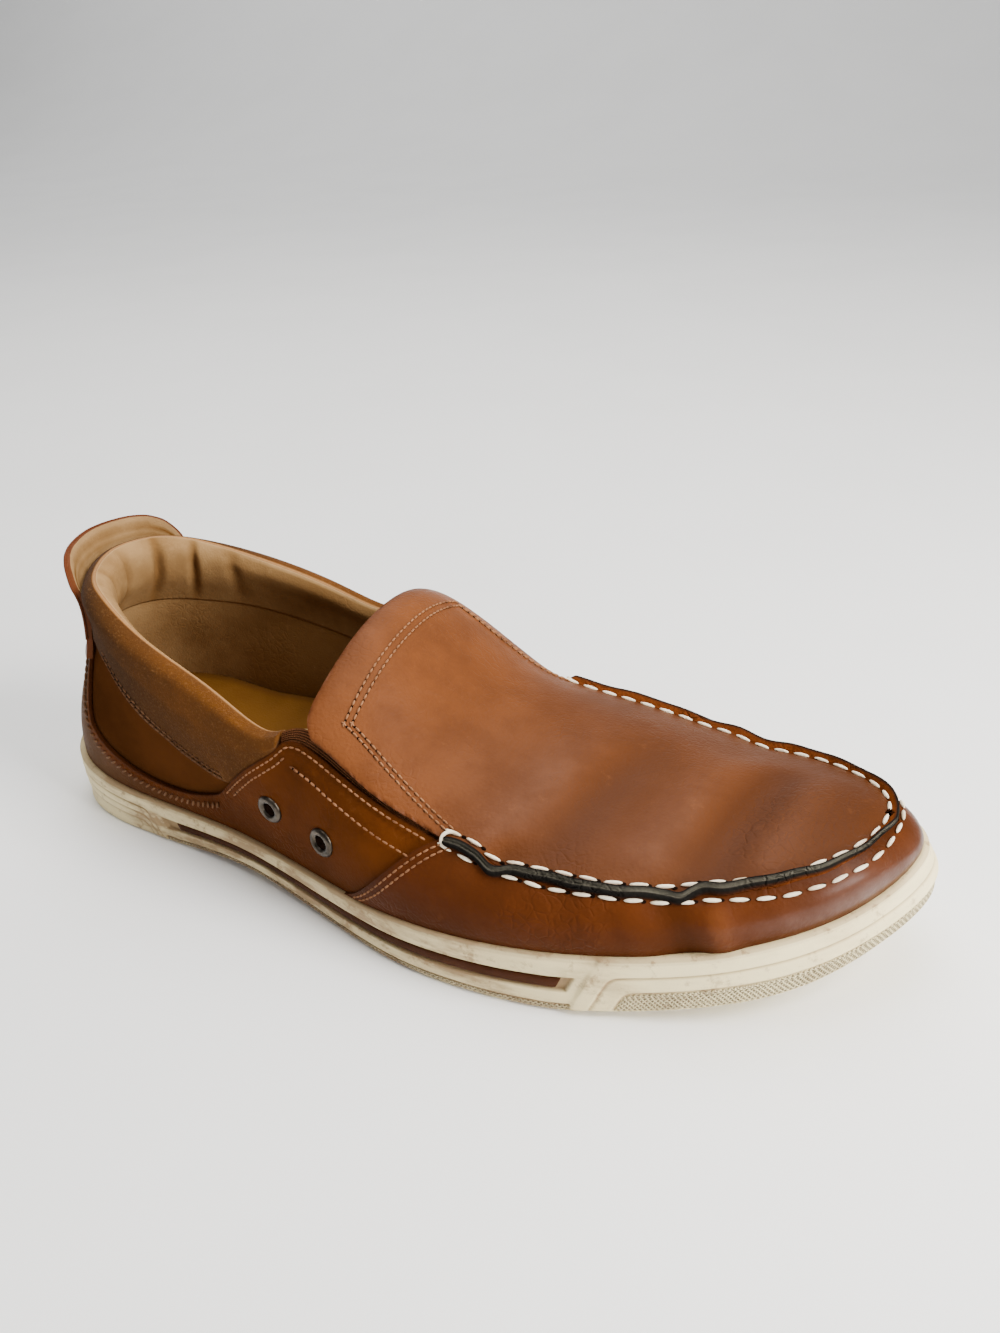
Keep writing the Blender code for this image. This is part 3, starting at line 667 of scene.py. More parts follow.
def tube_object(name: str, loops: Array, materials: Materials, closed: bool = False,
                slots: Array | None = None) -> bpy.types.Object:
    """A solid swept from loops of points, capped unless its path is closed.

    Args:
        name: the piece's name.
        loops: one loop of points a row, in mm.
        materials: slots of the mesh.
        closed: whether the last loop joins the first.
        slots: material index of each column.

    Returns:
        The object, with a UV map in metres run along the tube.
    """
    rows, columns = loops.shape[:2]
    faces, kinds = [], []
    for i in range(rows if closed else rows - 1):
        j = (i + 1) % rows
        for k in range(columns):
            m = (k + 1) % columns
            faces.append((i * columns + k, j * columns + k, j * columns + m, i * columns + m))
            kinds.append(0 if slots is None else int(slots[k]))
    if not closed:
        faces.append(tuple(range(columns)))
        faces.append(tuple((rows - 1) * columns + k for k in reversed(range(columns))))
        kinds += [0, 0]
    mesh = bpy.data.meshes.new(name)
    mesh.from_pydata((loops.reshape(-1, 3) * MM).tolist(), [], faces)
    layer = mesh.uv_layers.new(name="UVMap")
    u, v = lengths(loops, 0) * MM, lengths(loops, 1) * MM
    flat = np.stack([u, v], -1).reshape(-1, 2)
    index = np.zeros(len(mesh.loops), np.int32)
    mesh.loops.foreach_get("vertex_index", index)
    layer.data.foreach_set("uv", flat[index].astype(np.float32).ravel())
    mesh.polygons.foreach_set("material_index", kinds)
    shape = bmesh.new()
    shape.from_mesh(mesh)
    bmesh.ops.recalc_face_normals(shape, faces=shape.faces)
    shape.to_mesh(mesh)
    shape.free()
    return finish_mesh(link(name, mesh), materials)


def cord_object(name: str, path: Array, up: Array, radius: float,
                material: bpy.types.Material) -> bpy.types.Object:
    """A round cord along a path.

    Args:
        name: the piece's name.
        path: points in mm.
        up: one vector or one for each point, not along the path.
        radius: of the cord, in mm.
        material: its finish.

    Returns:
        The object.
    """
    way = unit(np.gradient(path, axis=0))
    side = unit(np.cross(way, up))
    rise = np.cross(side, way)
    turn = np.linspace(0, 2 * math.pi, 10, endpoint=False)
    ray = side[:, None] * np.cos(turn)[:, None] + rise[:, None] * np.sin(turn)[:, None]
    return tube_object(name, path[:, None] + radius * ray, [material])


def through(points: Array, count: int) -> Array:
    """Catmull-Rom line through columns of a rows x columns x 3 grid, count points long.

    Args:
        points: the grid.
        count: points of each line.

    Returns:
        The longer grid.
    """
    columns = points.shape[1]
    t = np.linspace(0, columns - 1, count)
    i = np.minimum(t.astype(int), columns - 2)
    f = (t - i)[None, :, None]
    p = [points[:, np.clip(i + k, 0, columns - 1)] for k in (-1, 0, 1, 2)]
    return 0.5 * (2 * p[1] + (p[2] - p[0]) * f + (2 * p[0] - 5 * p[1] + 4 * p[2] - p[3]) * f**2
                  + (-p[0] + 3 * p[1] - 3 * p[2] + p[3]) * f**3)


def store_marks(mesh: bpy.types.Mesh, marks: dict[str, Array]) -> None:
    """Stores values on the points of a mesh, by name.

    Args:
        mesh: the mesh.
        marks: one value a point, by name.
    """
    for key, values in marks.items():
        stored = mesh.attributes.new(key, "FLOAT", "POINT")
        stored.data.foreach_set("value", np.asarray(values, np.float32).ravel())


def ride(obj: bpy.types.Object, slot: str, *nodes: str) -> None:
    """Puts a finished piece on the shoe's one body and says what it stands for.

    Args:
        obj: the piece.
        slot: its finish in the record, or nothing; not used.
        *nodes: the CAD nodes it stands for.
    """
    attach(obj, "root")
    if nodes:
        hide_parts(*nodes)
    LOG.info("piece %s: %d faces%s", obj.name, len(obj.data.polygons),
             " for " + ", ".join(nodes) if nodes else "")


# -------------------------------------------------------------------- materials
def socket(group: bpy.types.NodeTree, name: str, kind: str, way: Way = Way.IN,
           value: object = None) -> None:
    """Adds a named socket to a node group.

    Args:
        group: the node group.
        name: of the socket.
        kind: Float, Int, Geometry, ...
        way: whether the group takes it or puts it out.
        value: its default.
    """
    made = group.interface.new_socket(name, in_out=way.value, socket_type="NodeSocket" + kind)
    if value is not None:
        made.default_value = value


class Graph:
    """Shorthand for building a node tree."""

    def __init__(self, tree: bpy.types.NodeTree) -> None:
        """Starts on an empty tree."""
        self.tree = tree

    def node(self, kind: str, inputs: dict[str | int, object] | None = None,
             **settings: object) -> bpy.types.Node:
        """Adds a node, sets its properties, then its inputs from values or sockets.

        Args:
            kind: the node's type name.
            inputs: socket name or number to a value or another node's output.
            **settings: properties of the node.

        Returns:
            The node.
        """
        made = self.tree.nodes.new(kind)
        for key, value in settings.items():
            setattr(made, key, value)
        for key, value in (inputs or {}).items():
            if isinstance(value, Socket):
                self.tree.links.new(value, made.inputs[key])
            else:
                made.inputs[key].default_value = value
        return made

    def plus(self, a: object, b: object) -> Socket:
        """Sum of a and b."""
        return self.math("ADD", a, b)

    def times(self, a: object, b: object) -> Socket:
        """Product of a and b."""
        return self.math("MULTIPLY", a, b)

    def math(self, operation: str, a: object, b: object = 0.0) -> Socket:
        """Result of one Math node."""
        return self.node("ShaderNodeMath", {0: a, 1: b}, operation=operation).outputs[0]

    def mix(self, factor: object, a: object, b: object) -> Socket:
        """Colour mix of a and b."""
        return self.node("ShaderNodeMix", {0: factor, 6: a, 7: b}, data_type="RGBA").outputs[2]

    def ramp(self, value: object, low: float, high: float) -> Socket:
        """Value mapped smoothly from low..high to 0..1."""
        return self.node("ShaderNodeMapRange", {"Value": value, "From Min": low, "From Max": high},
                         interpolation_type="SMOOTHSTEP").outputs[0]

    def where(self) -> Socket:
        """The piece's own coordinates."""
        return self.node("ShaderNodeTexCoord").outputs["Object"]

    def unrolled(self) -> Socket:
        """Place on the piece's UV map, in metres."""
        return self.node("ShaderNodeTexCoord").outputs["UV"]

    def mark(self, name: str) -> Socket:
        """A value stored on the piece's points."""
        return self.node("ShaderNodeAttribute", attribute_name=name).outputs["Fac"]

    def noise(self, where: Socket, scale: float, detail: float = 2.0, rough: float = 0.5) -> Socket:
        """A noise texture's value."""
        return self.node("ShaderNodeTexNoise", {"Vector": where, "Scale": scale, "Detail": detail,
                                                "Roughness": rough}).outputs["Fac"]

    def dress(self, shader: bpy.types.Node, colour: Socket, height: Socket, strength: float,
              distance: float, **values: object) -> None:
        """Feeds a Principled shader.

        Args:
            shader: the Principled shader.
            colour: its base colour.
            height: relief of the surface, from 0 to 1.
            strength: of the bump.
            distance: of the bump, in metres.
            **values: other inputs by name, with _ for a space.
        """
        bump = self.node("ShaderNodeBump", {"Height": height, "Strength": strength,
                                            "Distance": distance})
        self.tree.links.new(colour, shader.inputs["Base Color"])
        self.tree.links.new(bump.outputs["Normal"], shader.inputs["Normal"])
        for key, value in values.items():
            made = shader.inputs[key.replace("_", " ")]
            if isinstance(value, Socket):
                self.tree.links.new(value, made)
            else:
                made.default_value = value


def noise_group() -> bpy.types.NodeTree:
    """Grain shared by the leathers: pebble, pores, worn creases, slow mottling and scuffs.

    Returns:
        The group.
    """
    group = bpy.data.node_groups.new("leather_grain", "ShaderNodeTree")
    socket(group, "Pebble", "Float", value=900.0)
    socket(group, "Creases", "Float", value=1.0)
    for name in ("Height", "Mottling", "Scuffs", "Specks"):
        socket(group, name, "Float", Way.OUT)
    g = Graph(group)
    given = g.node("NodeGroupInput").outputs
    where = g.where()
    warp = g.node("ShaderNodeTexNoise", {"Vector": where, "Scale": 120.0, "Detail": 2.0})
    bent = g.node("ShaderNodeVectorMath", {0: warp.outputs["Color"], 1: (0.006, 0.006, 0.006)},
                  operation="MULTIPLY")
    moved = g.node("ShaderNodeVectorMath", {0: where, 1: bent.outputs[0]}, operation="ADD")
    pebble = g.node("ShaderNodeTexVoronoi", {"Vector": where, "Scale": given["Pebble"]},
                    feature="F1").outputs["Distance"]
    net = g.node("ShaderNodeTexVoronoi", {"Vector": moved.outputs[0], "Scale": 330.0},
                 feature="DISTANCE_TO_EDGE").outputs["Distance"]
    crease = g.times(g.ramp(net, 0.0, 0.16), g.ramp(g.noise(where, 38.0), 0.46, 0.62))
    grain = g.plus(g.times(pebble, 0.6), g.times(g.noise(where, 3500.0), 0.35))
    grain = g.plus(grain, g.times(g.noise(where, 260.0, 3.0), 0.9))
    grain = g.plus(grain, g.times(crease, given["Creases"]))
    g.node("NodeGroupOutput", {"Height": grain, "Mottling": g.noise(where, 45.0, 5.0, 0.62),
                               "Scuffs": g.ramp(g.noise(where, 140.0, 6.0, 0.75), 0.60, 0.72),
                               "Specks": g.noise(where, 1300.0, 3.0, 0.7)})
    return group


def new_material(name: str) -> tuple[bpy.types.Material, Graph, bpy.types.Node]:
    """A node material with its graph and its Principled shader.

    Args:
        name: of the material.

    Returns:
        The material, its graph and its shader.
    """
    made = bpy.data.materials.new(name)
    made.use_nodes = True
    return made, Graph(made.node_tree), made.node_tree.nodes["Principled BSDF"]


def rgba(colour: Triple) -> tuple[float, float, float, float]:
    """The colour with full alpha."""
    return (*colour, 1.0)


@dataclass(frozen=True)
class Leather:
    """Smooth or napped leather with mottling, darker edges and worn creases; its tone mark mixes in
    painted shade and painted highlight.
    """

    name: str
    colour: Triple
    deep: Triple
    pale: Triple
    edge: Triple
    rough: float = 0.42
    bump: float = 0.3
    sheen: float = 0.0
    pebble: float = 900.0
    creases: float = 0.9
    scuffs: float = 0.15
    nap: float = 0.0
    level: float = 0.1
    core: Triple | None = None

    def make(self) -> bpy.types.Material:
        """Builds the material.

        Returns:
            The material.
        """
        made, g, shader = new_material(self.name)
        shared = bpy.data.node_groups.get("leather_grain") or noise_group()
        grain = g.node("ShaderNodeGroup", node_tree=shared)
        grain.inputs["Pebble"].default_value = self.pebble
        grain.inputs["Creases"].default_value = self.creases
        scuffs, specks = grain.outputs["Scuffs"], grain.outputs["Specks"]
        # Tone below 0 mixes towards deep and above 0 towards pale: painted shade and painted
        # highlight where the pieces set it, besides the leather's own tone.
        tone = g.mark("tone")
        mottle = g.ramp(grain.outputs["Mottling"], 0.35, 0.65)
        base = g.mix(g.times(mottle, 0.45), rgba(self.colour), rgba(self.deep))
        dark = g.mix(g.math("MAXIMUM", g.times(tone, -1.0), 0.0), base, rgba(self.deep))
        # Positive tone mixes towards pale: rubbed wear and painted highlight.
        worn = g.mix(g.math("MAXIMUM", tone, 0.0), dark, rgba(self.pale))
        final = g.mix(g.times(scuffs, self.scuffs), worn, rgba(self.pale))
        if self.nap:
            fibre = g.times(g.ramp(specks, 0.52, 0.72), self.nap)
            pit = g.times(g.ramp(specks, 0.48, 0.30), self.nap * 1.4)
            final = g.mix(pit, g.mix(fibre, final, rgba(self.pale)), rgba(self.deep))
        final = g.mix(g.mark("edge"), final, rgba(self.edge))
        if self.core:
            final = g.mix(g.mark("core"), final, rgba(self.core))
        rough = g.plus(g.plus(g.times(mottle, 0.10), self.rough - 0.05), g.times(scuffs, 0.1))
        polish = g.times(g.mark("polish"), g.math("SUBTRACT", 1.0, g.times(mottle, 0.5)))
        g.dress(shader, final, grain.outputs["Height"], self.bump, 0.0004, Roughness=rough,
                Coat_Weight=polish, Coat_Roughness=0.28, Specular_IOR_Level=self.level,
                Sheen_Weight=self.sheen, Sheen_Roughness=0.45)
        return made


@dataclass(frozen=True)
class Rubber:
    """Cream sole rubber, yellowed and soiled, with painted shade through the waist, the heel and
    the recess, and a knurled toe band from the UV map.
    """

    name: str
    colour: Triple
    # Colour that dirt and painted shade mix towards.
    grime_and_shade: Triple
    rough: float = 0.62
    knurl_waves: float = 4200.0

    def make(self) -> bpy.types.Material:
        """Builds the material.

        Returns:
            The material.
        """
        made, g, shader = new_material(self.name)
        where, knurl = g.where(), g.mark("knurl")
        streak = g.node("ShaderNodeMapping", {"Vector": where, "Scale": (34.0, 34.0, 130.0)})
        smear = g.ramp(g.noise(streak.outputs[0], 1.0, 6.0, 0.65), 0.42, 0.80)
        spot = g.noise(where, 220.0, 6.0, 0.7)
        wide = g.ramp(g.noise(where, 28.0, 5.0, 0.6), 0.50, 0.72)
        # The soil mark carries dirt and painted shade, heaviest through the waist and the heel.
        dirt = g.times(g.times(g.plus(smear, 0.36), g.mark("soil_and_shade")), 0.5)
        dirt = g.plus(dirt, g.times(g.ramp(spot, 0.54, 0.70), 0.4))
        dirt = g.plus(dirt, g.times(wide, 0.12))
        parts = g.node("ShaderNodeSeparateXYZ", {0: g.unrolled()})
        waves = [g.math("SINE", g.plus(g.times(parts.outputs[0], self.knurl_waves),
                                       g.times(parts.outputs[1], self.knurl_waves * sign)))
                 for sign in (1.0, -1.0)]
        bumps = g.times(g.math("MAXIMUM", waves[0], waves[1]), knurl)
        # Darker in the knurl's pits.
        pits = g.math("SUBTRACT", g.times(knurl, 0.35), bumps)
        dirt = g.plus(dirt, g.times(g.math("MAXIMUM", pits, 0.0), 0.6))
        # The cavity mark adds painted shade in the recess and dirt in the grooves and along the top
        # edge.
        dirt = g.math("MINIMUM", g.plus(dirt, g.times(g.mark("cavity"), 0.7)), 0.9)
        g.dress(shader, g.mix(dirt, rgba(self.colour), rgba(self.grime_and_shade)),
                g.plus(bumps, g.times(spot, 0.35)), 1.0, 0.0007,
                Roughness=g.plus(g.times(dirt, 0.15), self.rough))
        return made


@dataclass(frozen=True)
class Thread:
    """Twisted sewing thread."""

    name: str
    colour: Triple
    shade: Triple

    def make(self) -> bpy.types.Material:
        """Builds the material.

        Returns:
            The material.
        """
        made, g, shader = new_material(self.name)
        where = g.where()
        dirt = g.ramp(g.noise(where, 90.0, 3.0), 0.45, 0.75)
        g.dress(shader, g.mix(dirt, rgba(self.colour), rgba(self.shade)), g.noise(where, 1500.0),
                0.5, 0.0003, Roughness=0.75, Specular_IOR_Level=0.15)
        return made


@dataclass(frozen=True)
class Elastic:
    """Ribbed elastic webbing: fine cords that follow the UV map, with painted highlight on the rib
    tops and painted shade between them.
    """

    name: str
    colour: Triple
    # Colour of the rib tops, a painted highlight.
    light: Triple
    weft: float = 0.0009

    def make(self) -> bpy.types.Material:
        """Builds the material.

        Returns:
            The material.
        """
        made, g, shader = new_material(self.name)
        run = g.node("ShaderNodeSeparateXYZ", {0: g.unrolled()}).outputs[0]
        weft = g.math("SINE", g.times(run, 2 * math.pi / self.weft))
        # The cord mark paints the rib tops pale and the grooves dark: painted highlight and painted
        # shade.
        g.dress(shader, g.mix(g.mark("cord"), rgba(self.colour), rgba(self.light)), weft,
                0.35, 0.0002, Roughness=0.8, Specular_IOR_Level=0.0)
        return made


@dataclass(frozen=True)
class Plain:
    """A plain finish with slight variation: metal, painted shade in needle and eyelet holes, floor.
    """

    name: str
    colour: Triple
    other: Triple
    rough: float = 0.5
    metal: float = 0.0
    scale: float = 400.0
    bump: float = 0.2
    level: float = 0.5

    def make(self) -> bpy.types.Material:
        """Builds the material.

        Returns:
            The material.
        """
        made, g, shader = new_material(self.name)
        grain = g.noise(g.where(), self.scale, 4.0)
        g.dress(shader, g.mix(g.ramp(grain, 0.35, 0.7), rgba(self.colour), rgba(self.other)), grain,
                self.bump, 0.0003, Roughness=self.rough, Specular_IOR_Level=self.level,
                Metallic=self.metal)
        return made


FINISHES = (
    Leather("apron_leather", (0.143, 0.0455, 0.0135), (0.060, 0.0185, 0.0055), (0.25, 0.090, 0.032),
            (0.080, 0.024, 0.008), level=0.05, creases=0.55, bump=0.4),
    Leather("vamp_leather", (0.084, 0.0215, 0.0048), (0.042, 0.0115, 0.0028), (0.20, 0.066, 0.020),
            (0.05, 0.014, 0.004), level=0.03, creases=0.8, bump=0.4),
    Leather("foxing_leather", (0.110, 0.030, 0.005), (0.046, 0.013, 0.003), (0.20, 0.070, 0.020),
            (0.045, 0.013, 0.004), core=(0.095, 0.056, 0.030), level=0.01),
    Leather("panel_leather", (0.066, 0.022, 0.006), (0.032, 0.011, 0.003), (0.105, 0.036, 0.010),
            (0.03, 0.009, 0.003), rough=0.5, level=0.0, creases=0.3),
    Leather("tab_leather", (0.11, 0.030, 0.010), (0.06, 0.016, 0.006), (0.20, 0.072, 0.028),
            (0.050, 0.012, 0.007), level=0.05),
    Leather("seam_leather", (0.125, 0.032, 0.007), (0.07, 0.018, 0.005), (0.24, 0.08, 0.025),
            (0.009, 0.008, 0.007), rough=0.9, core=(0.115, 0.105, 0.080), level=0.0,
            creases=1.5, bump=1.0),
    Leather("collar_suede", (0.108, 0.038, 0.007), (0.050, 0.021, 0.007), (0.34, 0.175, 0.070),
            (0.08, 0.026, 0.007), rough=0.95, bump=0.6, sheen=0.05, pebble=2200.0, level=0.0,
            scuffs=0.22, creases=0.2, nap=0.15),
    Leather("lining_leather", (0.30, 0.178, 0.074), (0.115, 0.046, 0.008), (0.44, 0.28, 0.13),
            (0.20, 0.10, 0.035), rough=0.7, bump=0.3, pebble=1500.0, level=0.05, creases=0.6),
    Leather("footbed_leather", (0.165, 0.070, 0.012), (0.12, 0.048, 0.008), (0.22, 0.10, 0.022),
            (0.10, 0.04, 0.008), rough=0.7, bump=0.2, pebble=1500.0, level=0.05, creases=0.2),
    Rubber("sole_rubber", (0.94, 0.81, 0.45), (0.27, 0.158, 0.070)),
    Leather("stripe_leather", (0.055, 0.018, 0.007), (0.030, 0.010, 0.004), (0.12, 0.05, 0.018),
            (0.03, 0.011, 0.005), rough=0.55, level=0.05, creases=0.2),
    Thread("white_thread", (0.84, 0.73, 0.55), (0.50, 0.37, 0.23)),
    Thread("tan_thread", (0.25, 0.112, 0.050), (0.115, 0.045, 0.017)),
    Thread("brown_thread", (0.145, 0.066, 0.028), (0.075, 0.030, 0.011)),
    Elastic("gore_elastic", (0.040, 0.015, 0.006), (0.140, 0.054, 0.023)),
    # Near black: painted shade inside needle holes and eyelet holes.
    Plain("painted_hole_shade", (0.006, 0.003, 0.002), (0.010, 0.005, 0.003), rough=0.9, level=0.0),
    Plain("eyelet_metal", (0.085, 0.070, 0.055), (0.030, 0.024, 0.018), rough=0.30, metal=1.0),
    Plain("floor", (0.90, 0.90, 0.89), (0.88, 0.88, 0.87), rough=0.8, scale=8.0, bump=0.0),
)


class Finishes:
    """Every finish of the shoe, made once and read by name."""

    def __init__(self) -> None:
        """Builds the materials."""
        self.made = {finish.name: finish.make() for finish in FINISHES}

    def __getitem__(self, name: str) -> bpy.types.Material:
        """The material of that name."""
        return self.made[name]


# --------------------------------------------------------------------- stitches
def stitch_tree() -> bpy.types.NodeTree:
    """Geometry nodes: grains of thread set along a path, upright on its 'up' vectors.

    Returns:
        The tree, with its sizes as inputs.
    """
    tree = bpy.data.node_groups.new("stitch_row", "GeometryNodeTree")
    socket(tree, "Path", "Geometry")
    for name, value in (("Pitch", 0.0035), ("Length", 0.003), ("Width", 0.0008), ("Height", 0.0006),
                        ("Slant", 0.0), ("Wobble", 0.05)):
        socket(tree, name, "Float", value=value)
    socket(tree, "Seed", "Int", value=3)
    socket(tree, "Thread", "Material")
    socket(tree, "Stitches", "Geometry", Way.OUT)
    g = Graph(tree)
    given = g.node("NodeGroupInput").outputs
    line = g.node("GeometryNodeMeshToCurve", {0: given["Path"]})
    spaced = g.node("GeometryNodeResampleCurve", {0: line.outputs[0], "Length": given["Pitch"]},
                    mode="LENGTH")
    size = g.node("ShaderNodeCombineXYZ",
                  {0: given["Length"], 1: given["Width"], 2: given["Height"]})
    turn = g.node("ShaderNodeCombineXYZ", {2: given["Slant"]})
    ball = g.node("GeometryNodeMeshUVSphere", {"Segments": 10, "Rings": 7, "Radius": 0.5})
    smooth = g.node("GeometryNodeSetShadeSmooth", {0: ball.outputs["Mesh"]})
    grain = g.node("GeometryNodeTransform", {0: smooth.outputs[0], "Scale": size.outputs[0]})
    slanted = g.node("GeometryNodeTransform", {0: grain.outputs[0], "Rotation": turn.outputs[0]})
    up = g.node("GeometryNodeInputNamedAttribute", {"Name": "up"}, data_type="FLOAT_VECTOR")
    tangent = g.node("GeometryNodeInputTangent")
    axes = g.node("FunctionNodeAxesToRotation", {0: up.outputs[0], 1: tangent.outputs[0]},
                  primary_axis="Z", secondary_axis="X")
    wobble = given["Wobble"]
    jitter = g.node("FunctionNodeRandomValue", {2: g.times(wobble, -1.0), 3: wobble,
                                                "Seed": given["Seed"]}, data_type="FLOAT")
    twist = g.node("ShaderNodeCombineXYZ", {2: jitter.outputs[1]})
    turned = g.node("FunctionNodeRotateRotation", {0: axes.outputs[0], 1: twist.outputs[0]},
                    rotation_space="LOCAL")
    placed = g.node("GeometryNodeInstanceOnPoints", {"Points": spaced.outputs[0],
                                                     "Instance": slanted.outputs[0],
                                                     "Rotation": turned.outputs[0]})
    real = g.node("GeometryNodeRealizeInstances", {0: placed.outputs[0]})
    dressed = g.node("GeometryNodeSetMaterial", {0: real.outputs[0], "Material": given["Thread"]})
    g.node("NodeGroupOutput", {0: dressed.outputs[0]})
    return tree


@dataclass(frozen=True)
class Stitching:
    """Sizes of one kind of stitch, in mm; slant in degrees."""

    pitch: float
    length: float
    width: float
    height: float
    slant: float = 0.0
    wobble: float = 0.05

    def hole_rows(self, paths: list[Row], depth: float) -> list[Row]:
        """Rows for the needle holes, half a stitch further along and depth mm lower.

        Args:
            paths: points and upward vectors of each row.
            depth: mm below the row.

        Returns:
            The new rows.
        """
        rows = []
        for line, up in paths:
            start = int(np.argmin(abs(run_along(line) - self.pitch / 2)))
            rows.append((line[start:] - up[start:] * depth, up[start:]))
        return rows

    def sew(self, name: str, paths: list[Row], thread: bpy.types.Material) -> None:
        """Sews rows along paths and adds them as one piece.

        Args:
            name: the piece's name.
            paths: points and upward vectors of each row, in mm.
            thread: the material.
        """
        points, ups, edges = [], [], []
        for line, up in paths:
            first = len(points)
            points += (line * MM).tolist()
            ups += up.tolist()
            edges += [(first + k, first + k + 1) for k in range(len(line) - 1)]
        mesh = bpy.data.meshes.new(name + "_path")
        mesh.from_pydata(points, edges, [])
        stored = mesh.attributes.new("up", "FLOAT_VECTOR", "POINT")
        stored.data.foreach_set("vector", np.array(ups, np.float32).ravel())
        path = link(name + "_path", mesh)
        tree = bpy.data.node_groups.get("stitch_row") or stitch_tree()
        modifier = path.modifiers.new("stitches", "NODES")
        modifier.node_group = tree
        values = {"Pitch": self.pitch * MM, "Length": self.length * MM, "Width": self.width * MM,
                  "Height": self.height * MM, "Slant": math.radians(self.slant),
                  "Wobble": self.wobble, "Thread": thread}
        for item in tree.interface.items_tree:
            if item.in_out == Way.IN.value and item.name in values:
                modifier[item.identifier] = values[item.name]
        graph = bpy.context.evaluated_depsgraph_get()
        made = link(name, bpy.data.meshes.new_from_object(path.evaluated_get(graph)))
        bpy.data.objects.remove(path)
        made.data.shade_smooth()
        ride(made, "")


MOC_STITCH = Stitching(6.7, 5.2, 1.15, 1.2, wobble=0.08)
# Dark grains between the moc stitches: painted shade of the needle holes.
MOC_HOLE = Stitching(6.7, 1.6, 1.0, 0.6)
FINE_STITCH = Stitching(2.3, 1.95, 0.66, 0.7)
# Dark grains between the fine stitches: painted shade of the needle holes.
FINE_HOLE = Stitching(2.3, 0.85, 0.85, 0.3)
WHIP_STITCH = Stitching(2.6, 3.1, 0.85, 0.9, slant=50)


def sew_fine(name: str, paths: list[Row], finishes: Finishes, thread: str = "tan_thread") -> None:
    """Sews fine rows with a dark grain between the stitches, painted shade of the needle hole.

    Args:
        name: the piece's name.
        paths: points and upward vectors of each row, in mm.
        finishes: the shoe's finishes.
        thread: name of the thread's finish.
    """
    FINE_STITCH.sew("stitches_" + name, paths, finishes[thread])
    FINE_HOLE.sew("holes_" + name, FINE_STITCH.hole_rows(paths, 0.12), finishes["painted_hole_shade"])


